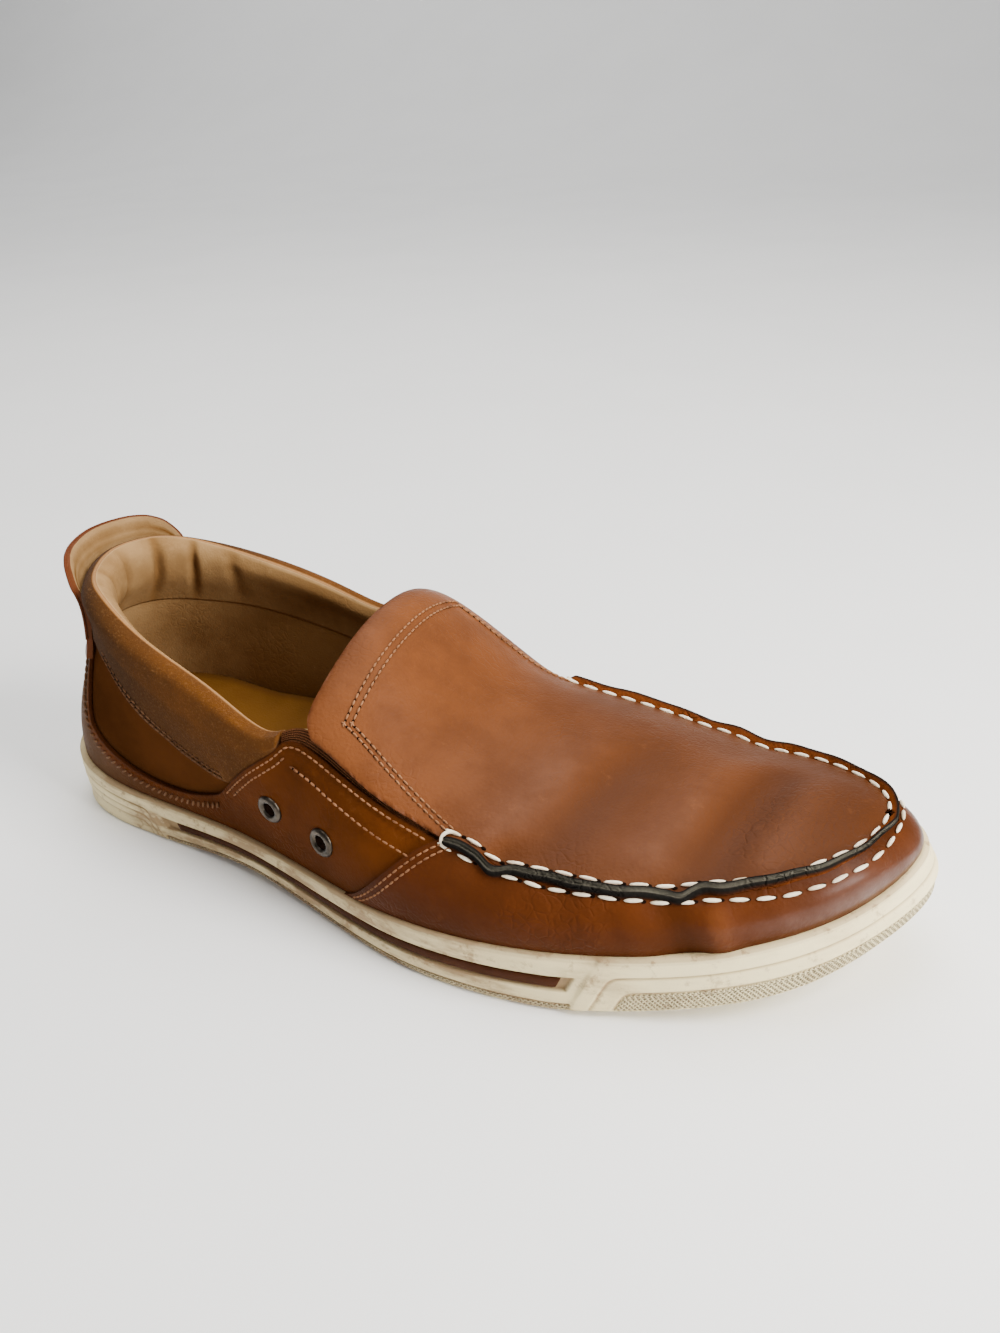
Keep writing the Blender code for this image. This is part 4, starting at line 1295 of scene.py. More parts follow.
# ----------------------------------------------------------------------- pieces
@dataclass
class Cupsole:
    """Outsole with its bumper, heel block and recess, the inlays and the footbed."""

    finishes: Finishes
    bumper_start: float = 173.0
    heel_end: float = 15.0
    slant: float = 9.0
    side_height: float = 17.0
    edge_inset: float = 0.75
    recess: float = 1.3
    slot: Pair = (0.385, 0.645)
    toe_bands: Pairs = ((6.2, 0.70), (12.6, 0.41))
    heel_bands: Pairs = ((2.6, 0.74), (5.4, 0.54), (8.2, 0.34))
    tread_line: float = 0.155
    foot: Pairs = ((0.0, 2.6), (0.015, 1.5), (0.045, 0.9))
    rim: Pairs = ((1.02, 0.4), (1.025, 1.4), (1.0, 2.6))
    # Dirt and painted shade along the sole against x, heaviest through the waist and the heel.
    soil_and_shade: Pairs = ((-40, 0.6), (-10, 1.0), (15, 1.9), (60, 2.6), (120, 2.5), (165, 1.7), (190, 0.8),
                   (262, 0.35))
    inlay: Pair = (24.0, 171.5)
    inlay_profile: Pairs = ((0.425, 0.95), (0.43, 0.45), (0.46, 0.22), (0.57, 0.22), (0.60, 0.45),
                            (0.605, 0.95))
    wedge: Pairs = ((-40, 13.3), (10, 12.8), (45, 13.3), (75, 9.0), (110, 5.5), (150, 4.0),
                    (262, 3.2))
    bed_inset: float = 4.3
    bed_wall: float = 2.6
    bed_edge: float = 0.6

    def stations(self) -> Array:
        """Section numbers round the outline, closer at the block ends, paired across the shoe.

        Returns:
            The section numbers.
        """
        u = np.linspace(0, TIP, 6000)
        c = LAST.at(u)
        x = c[:, X]
        dense = smooth_step(x, 166, 170) * (1 - smooth_step(x, 196, 200))
        dense += smooth_step(x, -8, -4) * (1 - smooth_step(x, 24, 28))
        weight = np.cumsum(np.gradient(run_along(c[:, :2])) * (0.62 + 1.4 * dense))
        half = np.interp(np.linspace(weight[0], weight[-1], int(weight[-1])), weight, u)
        return np.concatenate([half, TURNS - half[-2:0:-1]])

    def zones(self, x: Array, f: Array) -> tuple[Array, Array, Array, Array]:
        """The toe bumper and the heel block at x and share f of the height.

        Args:
            x: position along the shoe in mm.
            f: share of the side wall's height.

        Returns:
            Weight of the bumper, weight of the block, and how far each point lies
            inside the slanted end of either.
        """
        front = x - self.slant * f - self.bumper_start
        back = self.heel_end - (x + self.slant * (f - 0.5))
        return smooth_step(front, 0, 1.3), smooth_step(back, 0, 1.3), front, back

    def relief(self, x: Array, f: Array) -> tuple[Array, Array]:
        """Outward relief of the side wall in mm, and a mark of its grooves.

        Args:
            x: position along the shoe in mm.
            f: share of the wall's height.

        Returns:
            The relief and the mark.
        """
        toe, heel, front, back = self.zones(x, f)
        out, groove = 0.85 * toe + 0.6 * heel, 0 * x
        for lead, bands, zone in ((front, self.toe_bands, toe), (back, self.heel_bands, heel)):
            for start, height in bands:
                inside = soft_min(lead - start, (height - f) * self.side_height, 1.0)
                line = bump_at(inside, 0.1, 0.42)
                out = out - zone * (0.32 * smooth_step(inside, -0.3, 0.4) + 0.40 * line)
                groove = np.maximum(groove, zone * line)
        middle = (1 - toe) * (1 - heel)
        out = out + middle * (0.75 * bump_at(f, 0.84, 0.13) + 0.35 * bump_at(f, 0.26, 0.09))
        seam = middle * bump_at(f, self.tread_line, 0.016)
        return out - 0.3 * seam, np.maximum(groove, seam)

    def hollow(self, x: Array, f: Array) -> Array:
        """Depth of the recess along the waist.

        Args:
            x: position along the shoe in mm.
            f: share of the wall's height.

        Returns:
            The depth in mm.
        """
        start = self.bumper_start + self.slant * f - 2.4
        end = self.heel_end - self.slant * (f - 0.5) + 3.0
        (low, high), soft = self.slot, 0.012
        across = smooth_step(f, low - soft, low + soft)
        across *= 1 - smooth_step(f, high - soft, high + soft)
        along = smooth_step(x, end - 0.8, end) * (1 - smooth_step(x, start - 0.8, start))
        return self.recess * across * along

    def inset(self, c: Array, share: Array | float) -> Array:
        """How far the side wall leans in from the outline at a share of its height.

        Args:
            c: columns of the sections.
            share: share of the height.

        Returns:
            The inset in mm.
        """
        lean = LAST.taper(c) - self.edge_inset
        return self.edge_inset + lean * smooth_step(share, 0.45, 1.0)

    def knurled(self, x: Array, f: Array) -> Array:
        """Where the side is knurled: the bumper's lowest field and a strip along the waist.

        Args:
            x: position along the shoe in mm.
            f: share of the wall's height.

        Returns:
            1 where it is knurled, 0 elsewhere.
        """
        toe, heel, front, _ = self.zones(x, f)
        start, height = self.toe_bands[-1]
        inner = smooth_step(soft_min(front - start, (height - f) * self.side_height, 1.0), 0.3, 0.9)
        return np.maximum(toe * inner, (1 - toe) * (1 - heel) * (1 - smooth_step(f, 0.13, 0.15)))

    def build(self) -> None:
        """Makes the outsole, the inlays and the footbed."""
        u = self.stations()
        c = LAST.at(u)
        creases = (*self.slot, self.toe_bands[0][1], self.toe_bands[1][1], self.tread_line)
        fine = [np.linspace(h - 0.03, h + 0.03, 7) for h in creases]
        levels = np.unique(np.round(np.concatenate([np.linspace(0.09, 1, 36), *fine]), 4))
        f = np.broadcast_to(levels, (len(u), len(levels)))
        x = np.broadcast_to(c[:, X, None], f.shape)
        relief, groove = self.relief(x, f)
        hollow = self.hollow(x, f)
        side = LAST.wall(u[:, None], f, self.inset(c[:, None], f) + hollow - relief)
        foot = [LAST.wall(u, share, inset)[:, None] for share, inset in self.foot]
        rim = [LAST.wall(u, share, LAST.taper(c) + inset)[:, None] for share, inset in self.rim]
        floor = rim[-1].copy()
        floor[:, 0, 2] = LAST.platform(c)
        points = np.concatenate([*foot, side, *rim, floor], 1)
        cavity, knurl = np.zeros(points.shape[:2]), np.zeros(points.shape[:2])
        wall = slice(len(self.foot), -len(self.rim) - 1)
        # Painted shade in the recess and dirt in the grooves.
        cavity[:, wall] = np.clip(hollow / self.recess * 0.9 + groove * 0.8, 0, 1)
        knurl[:, wall] = self.knurled(x, f)
        # Dirt along the top edge, where the upper stands on the sole.
        cavity[:, -3:] = 0.6
        cavity[:, -5:-3] = 0.62
        cavity[:, -7:-5] = np.maximum(cavity[:, -7:-5], 0.22)
        soil_and_shade = np.interp(c[:, X], *zip(*self.soil_and_shade))
        made = grid_object("outsole_body", points, [self.finishes["sole_rubber"]],
                           LAST.outward(u)[:, None] + 0 * points, wrap=True,
                           marks={"cavity": cavity, "knurl": knurl, "soil_and_shade": soil_and_shade[:, None]})
        self.close(made, len(u), points.shape[1])
        ride(made, "rubber_cream", "outsole")
        for side_name in Side:
            self.build_inlay(side_name)
        self.build_footbed()

    def close(self, obj: bpy.types.Object, count: int, high: int) -> None:
        """Closes the underside and the platform with cross quads.

        Args:
            obj: the outsole.
            count: sections round it.
            high: points a section.
        """
        shape = bmesh.new()
        shape.from_mesh(obj.data)
        shape.verts.ensure_lookup_table()
        half = count // 2
        for column, flip in ((0, False), (high - 1, True)):
            ring = [shape.verts[k * high + column] for k in range(count)]
            rungs = [(ring[0], ring[1], ring[-1])]
            rungs += [(ring[k], ring[k + 1], ring[count - k - 1], ring[count - k])
                      for k in range(1, half - 1)]
            rungs.append((ring[half - 1], ring[half], ring[half + 1]))
            for rung in rungs:
                shape.faces.new(tuple(reversed(rung)) if flip else rung)
        bmesh.ops.recalc_face_normals(shape, faces=shape.faces)
        shape.to_mesh(obj.data)
        shape.free()
        obj.data.shade_smooth()

    def build_inlay(self, side: Side) -> None:
        """Brown strip in the recess, its ends cut on the slant.

        Args:
            side: lateral or medial.
        """
        u = np.linspace(2.2, 10.5, 900)
        x_of = LAST.at(side.u(u))[:, X]
        x = np.linspace(*self.inlay, 150)
        loops = []
        for share, depth in self.inlay_profile:
            lean = self.slant * (share - 0.5)
            at = side.u(np.interp(x + np.linspace(-lean, lean, len(x)), x_of, u))
            loops.append(LAST.wall(at, share, self.inset(LAST.at(at), share) + depth + 0.15))
        made = tube_object("sole_inlay_" + side.value, np.stack(loops, 1),
                           [self.finishes["stripe_leather"]])
        ride(made, "stripe_brown", "sole_stripe_" + side.value)

    def build_footbed(self) -> None:
        """Padded footbed with a soft dish, up to the lining all round."""
        u = np.linspace(0.02, TIP - 0.02, 160)
        c = LAST.at(u)
        inset = LAST.taper(c) + self.bed_inset
        left, right = LAST.wall(u, 1.0, inset), LAST.wall(TURNS - u, 1.0, inset)
        v = np.linspace(0, 1, 33)[None, :]
        points = left[:, None] * (1 - v[..., None]) + right[:, None] * v[..., None]
        dish = 1.4 * np.abs(2 * v - 1) ** 3
        level = LAST.platform(c)[:, None] * (1 - v) + LAST.platform(LAST.at(TURNS - u))[:, None] * v
        points[..., 2] = level + np.interp(points[..., 0], *zip(*self.wedge)) + dish
        edge = edge_mark(points, 4, Border.FIRST_COLUMN, Border.LAST_COLUMN)
        made = grid_object("footbed", points, [self.finishes["footbed_leather"]], upward(points),
                           marks={"edge": edge, "tone": 0.0})
        wall_it(made, self.bed_wall, self.bed_edge)
        ride(made, "lining_camel", "insole")


@dataclass
class Upper:
    """The hollow shell with its lining, the vamp, the quarter foxing and the gores."""

    finishes: Finishes
    wall: float = 1.6
    overlay: float = 1.3
    edge: float = 0.45
    rear_base: float = 6.5
    rear_sweep: float = 1.55
    vamp_lift: float = 1.75
    vamp_rows: Pair = (2.0, 4.4)
    vamp_columns: int = 30
    foxing_lift: float = 1.45
    foxing_span: Pair = (0.03, 0.90)
    tuck: float = 0.14
    quarter_rows: tuple[Triple, ...] = ((1.6, 4.15, 7.9), (3.8, 4.25, 5.35), (8.0, 5.5, 7.8))
    whip_row: Triple = (3.6, 0.75, 3.9)
    gore_span: Pair = (5.45, 7.9)
    gore_wall: float = 0.5
    gore_cords: int = 8

    def vamp_rear(self, d: Array) -> Array:
        """Section number of the vamp's rear edge at share d."""
        return self.rear_base + self.rear_sweep * np.maximum(d, 0) ** 0.6

    def build(self) -> None:
        """Makes every piece of the upper."""
        self.build_shell()
        self.build_foxing()
        self.build_vamp()
        for side in Side:
            self.build_gore(side)

    def tone(self, points: Array) -> Array:
        """Tone of the leather: darker towards the toe, painted shade in fold troughs and low down,
        painted highlight on fold ridges.

        Args:
            points: of a piece, in mm.

        Returns:
            Below 0 darker, above 0 paler.
        """
        # Painted shade in fold troughs and painted highlight on fold ridges.
        folds = LAST.relief(points)
        toe = smooth_step(points[..., 0], 195, 245) * 0.35
        # Painted shade low down on the sides.
        low = (1 - smooth_step(points[..., 2], 18, 36)) * 0.5
        return np.clip(0.35 * folds, -0.6, 0.35) - toe - low

    def build_shell(self) -> None:
        """Side walls all round and the crown under the apron."""
        u = np.linspace(0, TURNS, 360, endpoint=False)
        c = LAST.at(u)
        side = np.minimum(u, TURNS - u)
        end = np.interp(side, (5.3, 6.0), (0.95, 1.0))
        foot = LAST.wall(u, 1.0, LAST.taper(c) + FOOT_INSET)
        foot[:, 2] = LAST.platform(c) + 0.4
        d = np.linspace(0, 1, 26)[None, :] * end[:, None]
        points = np.concatenate([foot[:, None], LAST.rib(u[:, None], d)], 1)
        shade = smooth_step(points[..., 1], 0, 22) * smooth_step(points[..., 0], -30, 35)
        shade -= 0.8 * smooth_step(points[..., 0], -5, 45) * (points[..., 1] < 0)
        faces = [self.finishes["panel_leather"], self.finishes["lining_leather"]]
        marks = {"edge": 0.0, "tone": self.tone(points) * 0.5 - 0.75 * shade}
        made = grid_object("shell_walls", points, faces, LAST.outward(u)[:, None] + 0 * points,
                           wrap=True, marks=marks)
        wall_it(made, self.wall, 0.0, inner=1, rim=1)
        ride(made, "leather_dark", "upper")
        rows, v = np.linspace(FLAP, TIP - 0.05, 90)[:, None], np.linspace(0, 1, 33)[None, :]
        crown = grid_object("shell_crown", LAST.crown(rows, v), faces, LAST.crown_normal(rows, v),
                            marks={"edge": 0.0, "tone": 0.0})
        wall_it(crown, self.wall, 0.0, inner=1, rim=1)
        ride(crown, "leather_dark")

    def build_vamp(self) -> None:
        """U-shaped overlay round the toe, its slanted rear edges over the quarters."""
        count = self.vamp_columns
        shares = np.linspace(0, 1, count)
        t = np.linspace(0, 1, 330)

        def share_of(u: Array) -> Array:
            """Shares from the sole to the top line at each column's section number.

            Args:
                u: one section number a column.

            Returns:
                One share a column.
            """
            low = LAST.share_at_height(u, LAST.at(u)[..., WALL] + 0.5)
            high = LAST.share_below_top(np.maximum(np.minimum(u, TURNS - u), 8.0), 0.2)
            return low + (high - low) * shares

        rear = self.vamp_rear(shares)
        for _ in range(3):
            found = np.array([share_of(np.full(count, r)) for r in rear])
            rear = self.vamp_rear(np.diagonal(found))
        u = rear[None, :] * (1 - t[:, None]) + (TURNS - rear[None, :]) * t[:, None]
        d = np.array([share_of(row) for row in u])
        run = np.minimum(t, 1 - t)[:, None] * (TURNS - 2 * rear[None, :])
        points = LAST.rib(u, d, self.vamp_lift + 0.55 * (1 - smooth_step(run, 0.05, 0.9)))
        line, n, across = LAST.seam_frame(u[:, -1])
        under = [line + n * 1.8 - across * a for a in (0.2, 1.2, 2.2)]
        points = np.concatenate([points, np.stack(under, 1)], 1)
        normals = np.concatenate([LAST.rib_normal(u, d), np.repeat(n[:, None], len(under), 1)], 1)
        run = lengths(points, 1)
        below = run[:, count - 1:count] - run
        front = smooth_step(points[..., 0], 200, 245)
        # Painted shade on the steep strip just under the top line at the toe.
        wall = front * (1 - smooth_step(below, 2.2, 4.6))
        ends = edge_mark(points, 1.6, Border.FIRST_ROW, Border.LAST_ROW)
        marks = {"edge": 0.9 * ends, "tone": self.tone(points) - 0.5 * wall,
                 "polish": 0.02 + 1.0 * front * bump_at(below, 11.5, 4.5)}
        made = grid_object("vamp_overlay", points, [self.finishes["vamp_leather"]], normals,
                           marks=marks)
        wall_it(made, self.overlay, self.edge)
        ride(made, "leather_brown", "vamp")
        upright = [LAST.rib_normal(u[k], d[k])[1:-1] for k in (0, -1)]
        rows = []
        for gap in self.vamp_rows:
            for first, n in zip((True, False), upright):
                rows.append((self.inset_row(points[:, :count], gap, first)[1:-1] + n * 0.1, n))
        sew_fine("vamp_rear", rows, self.finishes)

    def inset_row(self, points: Array, gap: float, first: bool) -> Array:
        """Line of a grid that lies gap mm in from its first or last row.

        Args:
            points: the grid.
            gap: mm in from the edge.
            first: whether the first row is the edge.

        Returns:
            The line.
        """
        grid = points if first else points[::-1]
        run = lengths(grid, 0)
        return np.array([[np.interp(gap, run[:, k], grid[:, k, axis]) for axis in range(3)]
                         for k in range(grid.shape[1])])

    def build_foxing(self) -> None:
        """Quarters, rand and backstay, tucked under the vamp at their front."""
        shares = np.linspace(0, 1, 26)
        t = np.linspace(-1, 1, 420)
        base, top = self.foxing_span
        front = self.vamp_rear(base + (top - base) * shares) + self.tuck
        u = t[:, None] * front[None, :]
        low = LAST.share_at_height(u[:, 0] % TURNS, LAST.at(u[:, 0])[..., WALL] + 0.5)[:, None]
        d = low + (read(FOXING_TOP, u) - low) * shares[None, :]
        side = np.abs(u)
        high = smooth_step(shares, 0.4, 0.9)[None, :]
        lift = self.foxing_lift + 0.6 * bump_at(side, 4.9, 0.9) * high
        lift -= 0.5 * smooth_step(side, 6.8, 7.6)
        points = LAST.rib(u, d, lift)
        rear = 0.35 * (1 - smooth_step(side, 2.6, 4.2))
        run = lengths(points, 1)
        strip = (1 - smooth_step(side, 1.2, 4.2)) * smooth_step(run[:, -1:] - run, 3.6, 5.4)
        marks = {"edge": 0.9 * edge_mark(points, 1.6, Border.LAST_COLUMN),
                 "tone": self.tone(points) + rear - 0.15, "core": 0.7 * strip}
        made = grid_object("quarter_overlay", points, [self.finishes["foxing_leather"]],
                           LAST.rib_normal(u, d), marks=marks)
        wall_it(made, self.overlay, self.edge)
        ride(made, "leather_brown", "quarter_foxing")
        self.sew_foxing()

    def sew_foxing(self) -> None:
        """Rows along the quarter's rear and top edges and the slanted row on the rand."""
        rows, whip = [], []
        for side in Side:
            for gap, first, last in self.quarter_rows:
                rows.append(self.row_below_top(side, np.linspace(first, last, 120), gap, 1.95))
            gap, first, last = self.whip_row
            whip.append(self.row_below_top(side, np.linspace(first, last, 150), gap, 1.75))
        sew_fine("quarter", rows, self.finishes)
        WHIP_STITCH.sew("stitches_rand", whip, self.finishes["brown_thread"])

    def row_below_top(self, side: Side, u: Array, gap: float, lift: float) -> Row:
        """A row that runs gap mm inside the foxing's upper edge.

        Args:
            side: lateral or medial.
            u: lateral section numbers.
            gap: mm from the edge.
            lift: mm above the last.

        Returns:
            Points and normals of the row.
        """
        d = read(FOXING_TOP, u)
        edge = LAST.bare_rib(side.u(u), d)
        inward = unit(np.cross(LAST.rib_normal(side.u(u), d), np.gradient(edge, axis=0)))
        inward *= np.sign(inward[:, 2:3].mean()) * -1
        target = edge + inward * gap
        fine_d, fine_u = np.linspace(0.02, 0.98, 97), np.linspace(u[0] - 0.6, u[-1] + 0.6, 161)
        grid = LAST.bare_rib(side.u(fine_u)[:, None], fine_d[None, :])
        near = nearest(grid.reshape(-1, 3), target)
        normal = LAST.rib_normal(side.u(fine_u)[near // len(fine_d)], fine_d[near % len(fine_d)])
        return steadied(target) + normal * lift, normal

    def build_gore(self, side: Side) -> None:
        """Ribbed elastic from under the flap to the quarter's top edge.

        Args:
            side: lateral or medial.
        """
        u = np.linspace(*self.gore_span, 120)
        low = read(FOXING_TOP, u) - 0.06
        high = np.minimum(1 - read(FLAP_HANG, u) + 0.05, 1.0)
        v = np.linspace(0, 1, 90)
        d = low[:, None] + (high - low)[:, None] * v[None, :]
        cord = 0.5 + 0.5 * np.cos(2 * math.pi * v * self.gore_cords)
        points = LAST.rib(side.u(u)[:, None], d, 0.55 + 0.28 * cord[None, :])
        # The cord mark gives painted highlight on the rib tops and painted shade between them.
        made = grid_object("gore_webbing_" + side.value, points, [self.finishes["gore_elastic"]],
                           LAST.rib_normal(side.u(u)[:, None], d), marks={"cord": cord[None, :]})
        wall_it(made, self.gore_wall, 0.0)
        ride(made, "elastic_brown", "gore_" + side.value)


# Profile of the moc ridge: across, height, raw black edge, grey core, and how much
# blacker it is along the lateral side.
RIDGE = (
    (-1.6, 0.2, 0, 0, 0), (-1.55, 1.6, 0, 0, 0), (-1.5, 2.9, 0, 0, 0), (-1.42, 3.7, 0.1, 0, 0.3),
    (-1.2, 4.4, 1, 0, 0), (-0.85, 4.65, 1, 0, 0), (-0.5, 4.4, 1, 0.4, 0), (-0.3, 3.3, 1, 1, 0),
    (0.05, 3.2, 1, 1, 0), (0.3, 4.0, 1, 0.4, 0), (0.65, 4.15, 1, 0, 0), (1.1, 3.85, 1, 0, 0),
    (1.4, 3.1, 0.6, 0, 0.4), (1.55, 2.2, 0, 0, 0.8), (1.65, 1.2, 0, 0, 0.5), (1.7, 0.2, 0, 0, 0))


class Drape:
    """A finished surface that stitches are laid on."""

    def __init__(self, points: Array) -> None:
        """Keeps the surface's points and normals.

        Args:
            points: grid of the surface, in mm.
        """
        du, dv = np.gradient(points, axis=0), np.gradient(points, axis=1)
        n = np.cross(dv, du)
        n /= np.linalg.norm(n, axis=-1, keepdims=True) + 1e-12
        n *= np.sign(n[..., 2].mean())
        self.points, self.normals = points.reshape(-1, 3), n.reshape(-1, 3)

    def lay(self, line: Array, lift: float) -> Row:
        """Drops a line on the surface, raised by lift, and returns it with its normals.

        Args:
            line: points near the surface.
            lift: mm above it.

        Returns:
            Points and normals.
        """
        near = nearest(self.points, line)
        n = unit(steadied(self.normals[near]))
        flat = line - n * np.sum((line - self.points[near]) * n, -1, keepdims=True)
        return flat + n * lift, n


@dataclass
class Apron:
    """The plug with its free flap, the moc seam and its white stitches."""

    finishes: Finishes
    wall: float = 2.0
    lift: float = 2.0
    edge: float = 0.9
    columns: int = 81
    flap_rows: tuple[Triple, ...] = ((6.46, 0.072, 0.022), (6.54, 0.088, 0.038))
    flap_rows_end: float = 8.12
    row_lift: float = 0.25
    ridge_start: float = 8.06
    thread_start: float = 8.14
    loop_radius: float = 0.55
    face: Drape | None = None

    def clear_share(self, u: float, gap: float) -> float:
        """Share in from the side where the apron is gap mm from the seam line.

        Args:
            u: section number.
            gap: mm to keep.

        Returns:
            The share.
        """
        line = LAST.at(np.linspace(7.5, TURNS - 7.5, 900))[:, TX:TZ + 1]
        shares = np.linspace(0.0, 0.5, 251)
        far = np.linalg.norm(LAST.bare_crown(u, shares)[:, None] - line[None], axis=-1).min(1) > gap
        return float(shares[np.argmax(far)]) if far.any() else 0.5

    def line_across(self, u: float) -> Array:
        """One line across the apron at section u, evenly spaced.

        Args:
            u: section number.

        Returns:
            The line's points.
        """
        hang = max(float(read(FLAP_HANG, u)), 0.0)
        free = 1 - smooth_step(u, 7.2, 8.1)
        inset = (1 - free) * self.clear_share(u, 0.9) + float(read(FLAP_INSET, u)) * free
        middle = LAST.crown(u, np.linspace(inset, 1 - inset, 90), self.lift + 0.6 * free)
        turned = min(hang / 0.03, 1.0)
        d = np.linspace(1 - hang, 1, 10)[:-1]
        sides = []
        for w, v in ((u, 0.0), (TURNS - u, 1.0)):
            n = unit(LAST.rib_normal(w, d) * turned + LAST.crown_normal(u, v) * (1 - turned))
            sides.append(LAST.rib(w, d) + n * (self.lift + 0.6 * free + 0.4 * turned))
        line = np.concatenate([sides[0], middle, sides[1][::-1]]) if hang > 0 else middle
        line = evenly(line, 160)
        for _ in range(10):
            line[1:-1] += free * (0.25 * line[:-2] - 0.5 * line[1:-1] + 0.25 * line[2:])
        return evenly(line, self.columns)

    def surface(self) -> Array:
        """Grid of the apron's outer face, flap edge first.

        Returns:
            Rows along the shoe, columns across it.
        """
        u = np.concatenate([np.linspace(5.85, 11.5, 150), np.linspace(11.5, 12.93, 50)[1:]])
        lines = np.array([self.line_across(at) for at in u])
        w = np.linspace(-1, 1, self.columns)
        start = 6.06 - 0.17 * np.abs(w) ** 3 + 0.28 * np.abs(w) ** 14
        t = np.linspace(0, 1, 190)
        rows = start[None, :] + (u[-1] - start[None, :]) * t[:, None]
        return np.stack([[np.interp(rows[:, k], u, lines[:, k, axis]) for k in range(self.columns)]
                         for axis in range(3)], -1).transpose(1, 0, 2)

    def build(self) -> None:
        """Makes the plug, the seam and their stitches."""
        points = self.surface()
        relief, x = LAST.relief(points), points[..., 0]
        toe = 0.12 * smooth_step(x, 92, 125) + 0.58 * smooth_step(x, 122, 160)
        toe += 0.3 * smooth_step(x, 195, 240)
        rear = 0.10 * (1 - smooth_step(x, 92, 125)) - 0.45 * (1 - smooth_step(x, 66, 100))
        # Tone: painted shade in fold troughs and painted highlight on fold ridges; darker towards
        # the toe and at the flap's rear edge.
        marks = {"edge": 0.8 * edge_mark(points, 1.8),
                 "tone": np.clip(0.27 * relief, -0.5, 0.35) - toe + rear,
                 "polish": 0.03 - 0.02 * toe + 0.12 * np.clip(relief, 0, 1)}
        faces = [self.finishes["apron_leather"], self.finishes["panel_leather"]]
        made = grid_object("apron_plug", points, faces, upward(points), marks=marks)
        wall_it(made, self.wall, self.edge, inner=1)
        ride(made, "leather_tan", "apron")
        self.face = Drape(points)
        self.sew_flap()
        self.build_seam()

    def sew_flap(self) -> None:
        """Double row along the flap's rear edge and down its free sides."""
        rows = []
        for u0, v0, end in self.flap_rows:
            rear = np.linspace(v0, 1 - v0, 160)
            leg = np.linspace(u0, self.flap_rows_end, 120)
            side = v0 + (end - v0) * ((leg - u0) / (self.flap_rows_end - u0)) ** 1.3
            for u, v in ((np.full(160, u0), rear), (leg, side), (leg, 1 - side)):
                rows.append(self.face.lay(LAST.crown(u, v, self.lift), self.row_lift))
        sew_fine("flap", rows, self.finishes)

    def seam_shift(self, u: Array) -> Array:
        """How far the ridge wanders across the top line, away from the apron.

        Args:
            u: section numbers.

        Returns:
            The shift in mm.
        """
        shift = -1.3 * smooth_step(u, 8.0, 8.3) * (1 - smooth_step(u, 10.4, 11.2))
        shift -= 1.3 * bump_at(u, 9.2, 0.35)
        shift += 2.2 * bump_at(u, 8.66, 0.12)
        return shift + 0.9 * bump_at(u, 10.20, 0.08) - 1.0 * bump_at(u, 10.42, 0.12)

    def build_seam(self) -> None:
        """Two raised raw edges sewn together, with white thread either side."""
        u = np.concatenate([np.linspace(self.ridge_start, 12, 300), np.linspace(12, 14, 180)[1:],
                            np.linspace(14, TURNS - self.ridge_start, 260)[1:]])
        line, n, across = LAST.seam_frame(u)
        run = run_along(line)
        ends = smooth_step(run, 0, 3.0) * (1 - smooth_step(run, run[-1] - 3.0, run[-1]))
        near = 1 - smooth_step(u, 10.2, 11.4)
        sway = self.seam_shift(u) + 0.22 * np.sin(run / 5.3) + 0.15 * np.sin(run / 2.1 + 1.0)
        rise = 0.25 * np.sin(run / 7.7 + 2) + 0.15 * np.sin(run / 2.9)
        slim = 1 - 0.38 * smooth_step(u, 10.6, 12.2)
        loops = []
        for a, h, *_ in RIDGE:
            wide = a * slim * (0.75 + 0.25 * ends) + sway
            tall = (h + rise * (h > 2)) * (0.55 + 0.45 * ends)
            loops.append(line + across * wide[:, None] + n * tall[:, None])
        made = tube_object("moc_ridge", np.stack(loops, 1), [self.finishes["seam_leather"]])
        black, grey, more = np.array(RIDGE, float).T[2:]
        raw = black[None, :] + near[:, None] * more
        store_marks(made.data, {"edge": np.clip(raw, 0, 1), "core": grey + 0 * raw,
                                "tone": 0 * raw})
        ride(made, "seam_black", "moc_seam")
        self.sew_seam()

    def sew_seam(self) -> None:
        """White rows on the plug's side and on the vamp's side of the ridge."""
        u = np.linspace(self.thread_start, TURNS - self.thread_start, 1200)
        line, n, across = LAST.seam_frame(u)
        side = np.minimum(u, TURNS - u)
        toe = smooth_step(side, 10.3, 11.3)
        gap = 2.7 - 1.4 * toe * (u < 15.5) - 0.8 * self.seam_shift(u)
        inner = self.face.lay(line - across * gap[:, None] + n * 1.0, 0.35)
        tuck = 1.0 * bump_at(side, 9.3, 0.8)
        d = LAST.share_below_top(u, 1.0 + 2.7 * toe - tuck)
        outer = (LAST.rib(u, d, 2.15), LAST.rib_normal(u, d))
        MOC_STITCH.sew("stitches_moc", [inner, outer], self.finishes["white_thread"])
        # Dark grains in the needle holes: painted shade.
        holes = MOC_STITCH.hole_rows([inner, outer], 0.25)
        MOC_HOLE.sew("stitch_holes_moc", holes, self.finishes["painted_hole_shade"])
        for k, name in ((0, "lateral"), (-1, "medial")):
            self.build_loop("stitch_end_" + name, inner, outer, k, line[k], n[k])

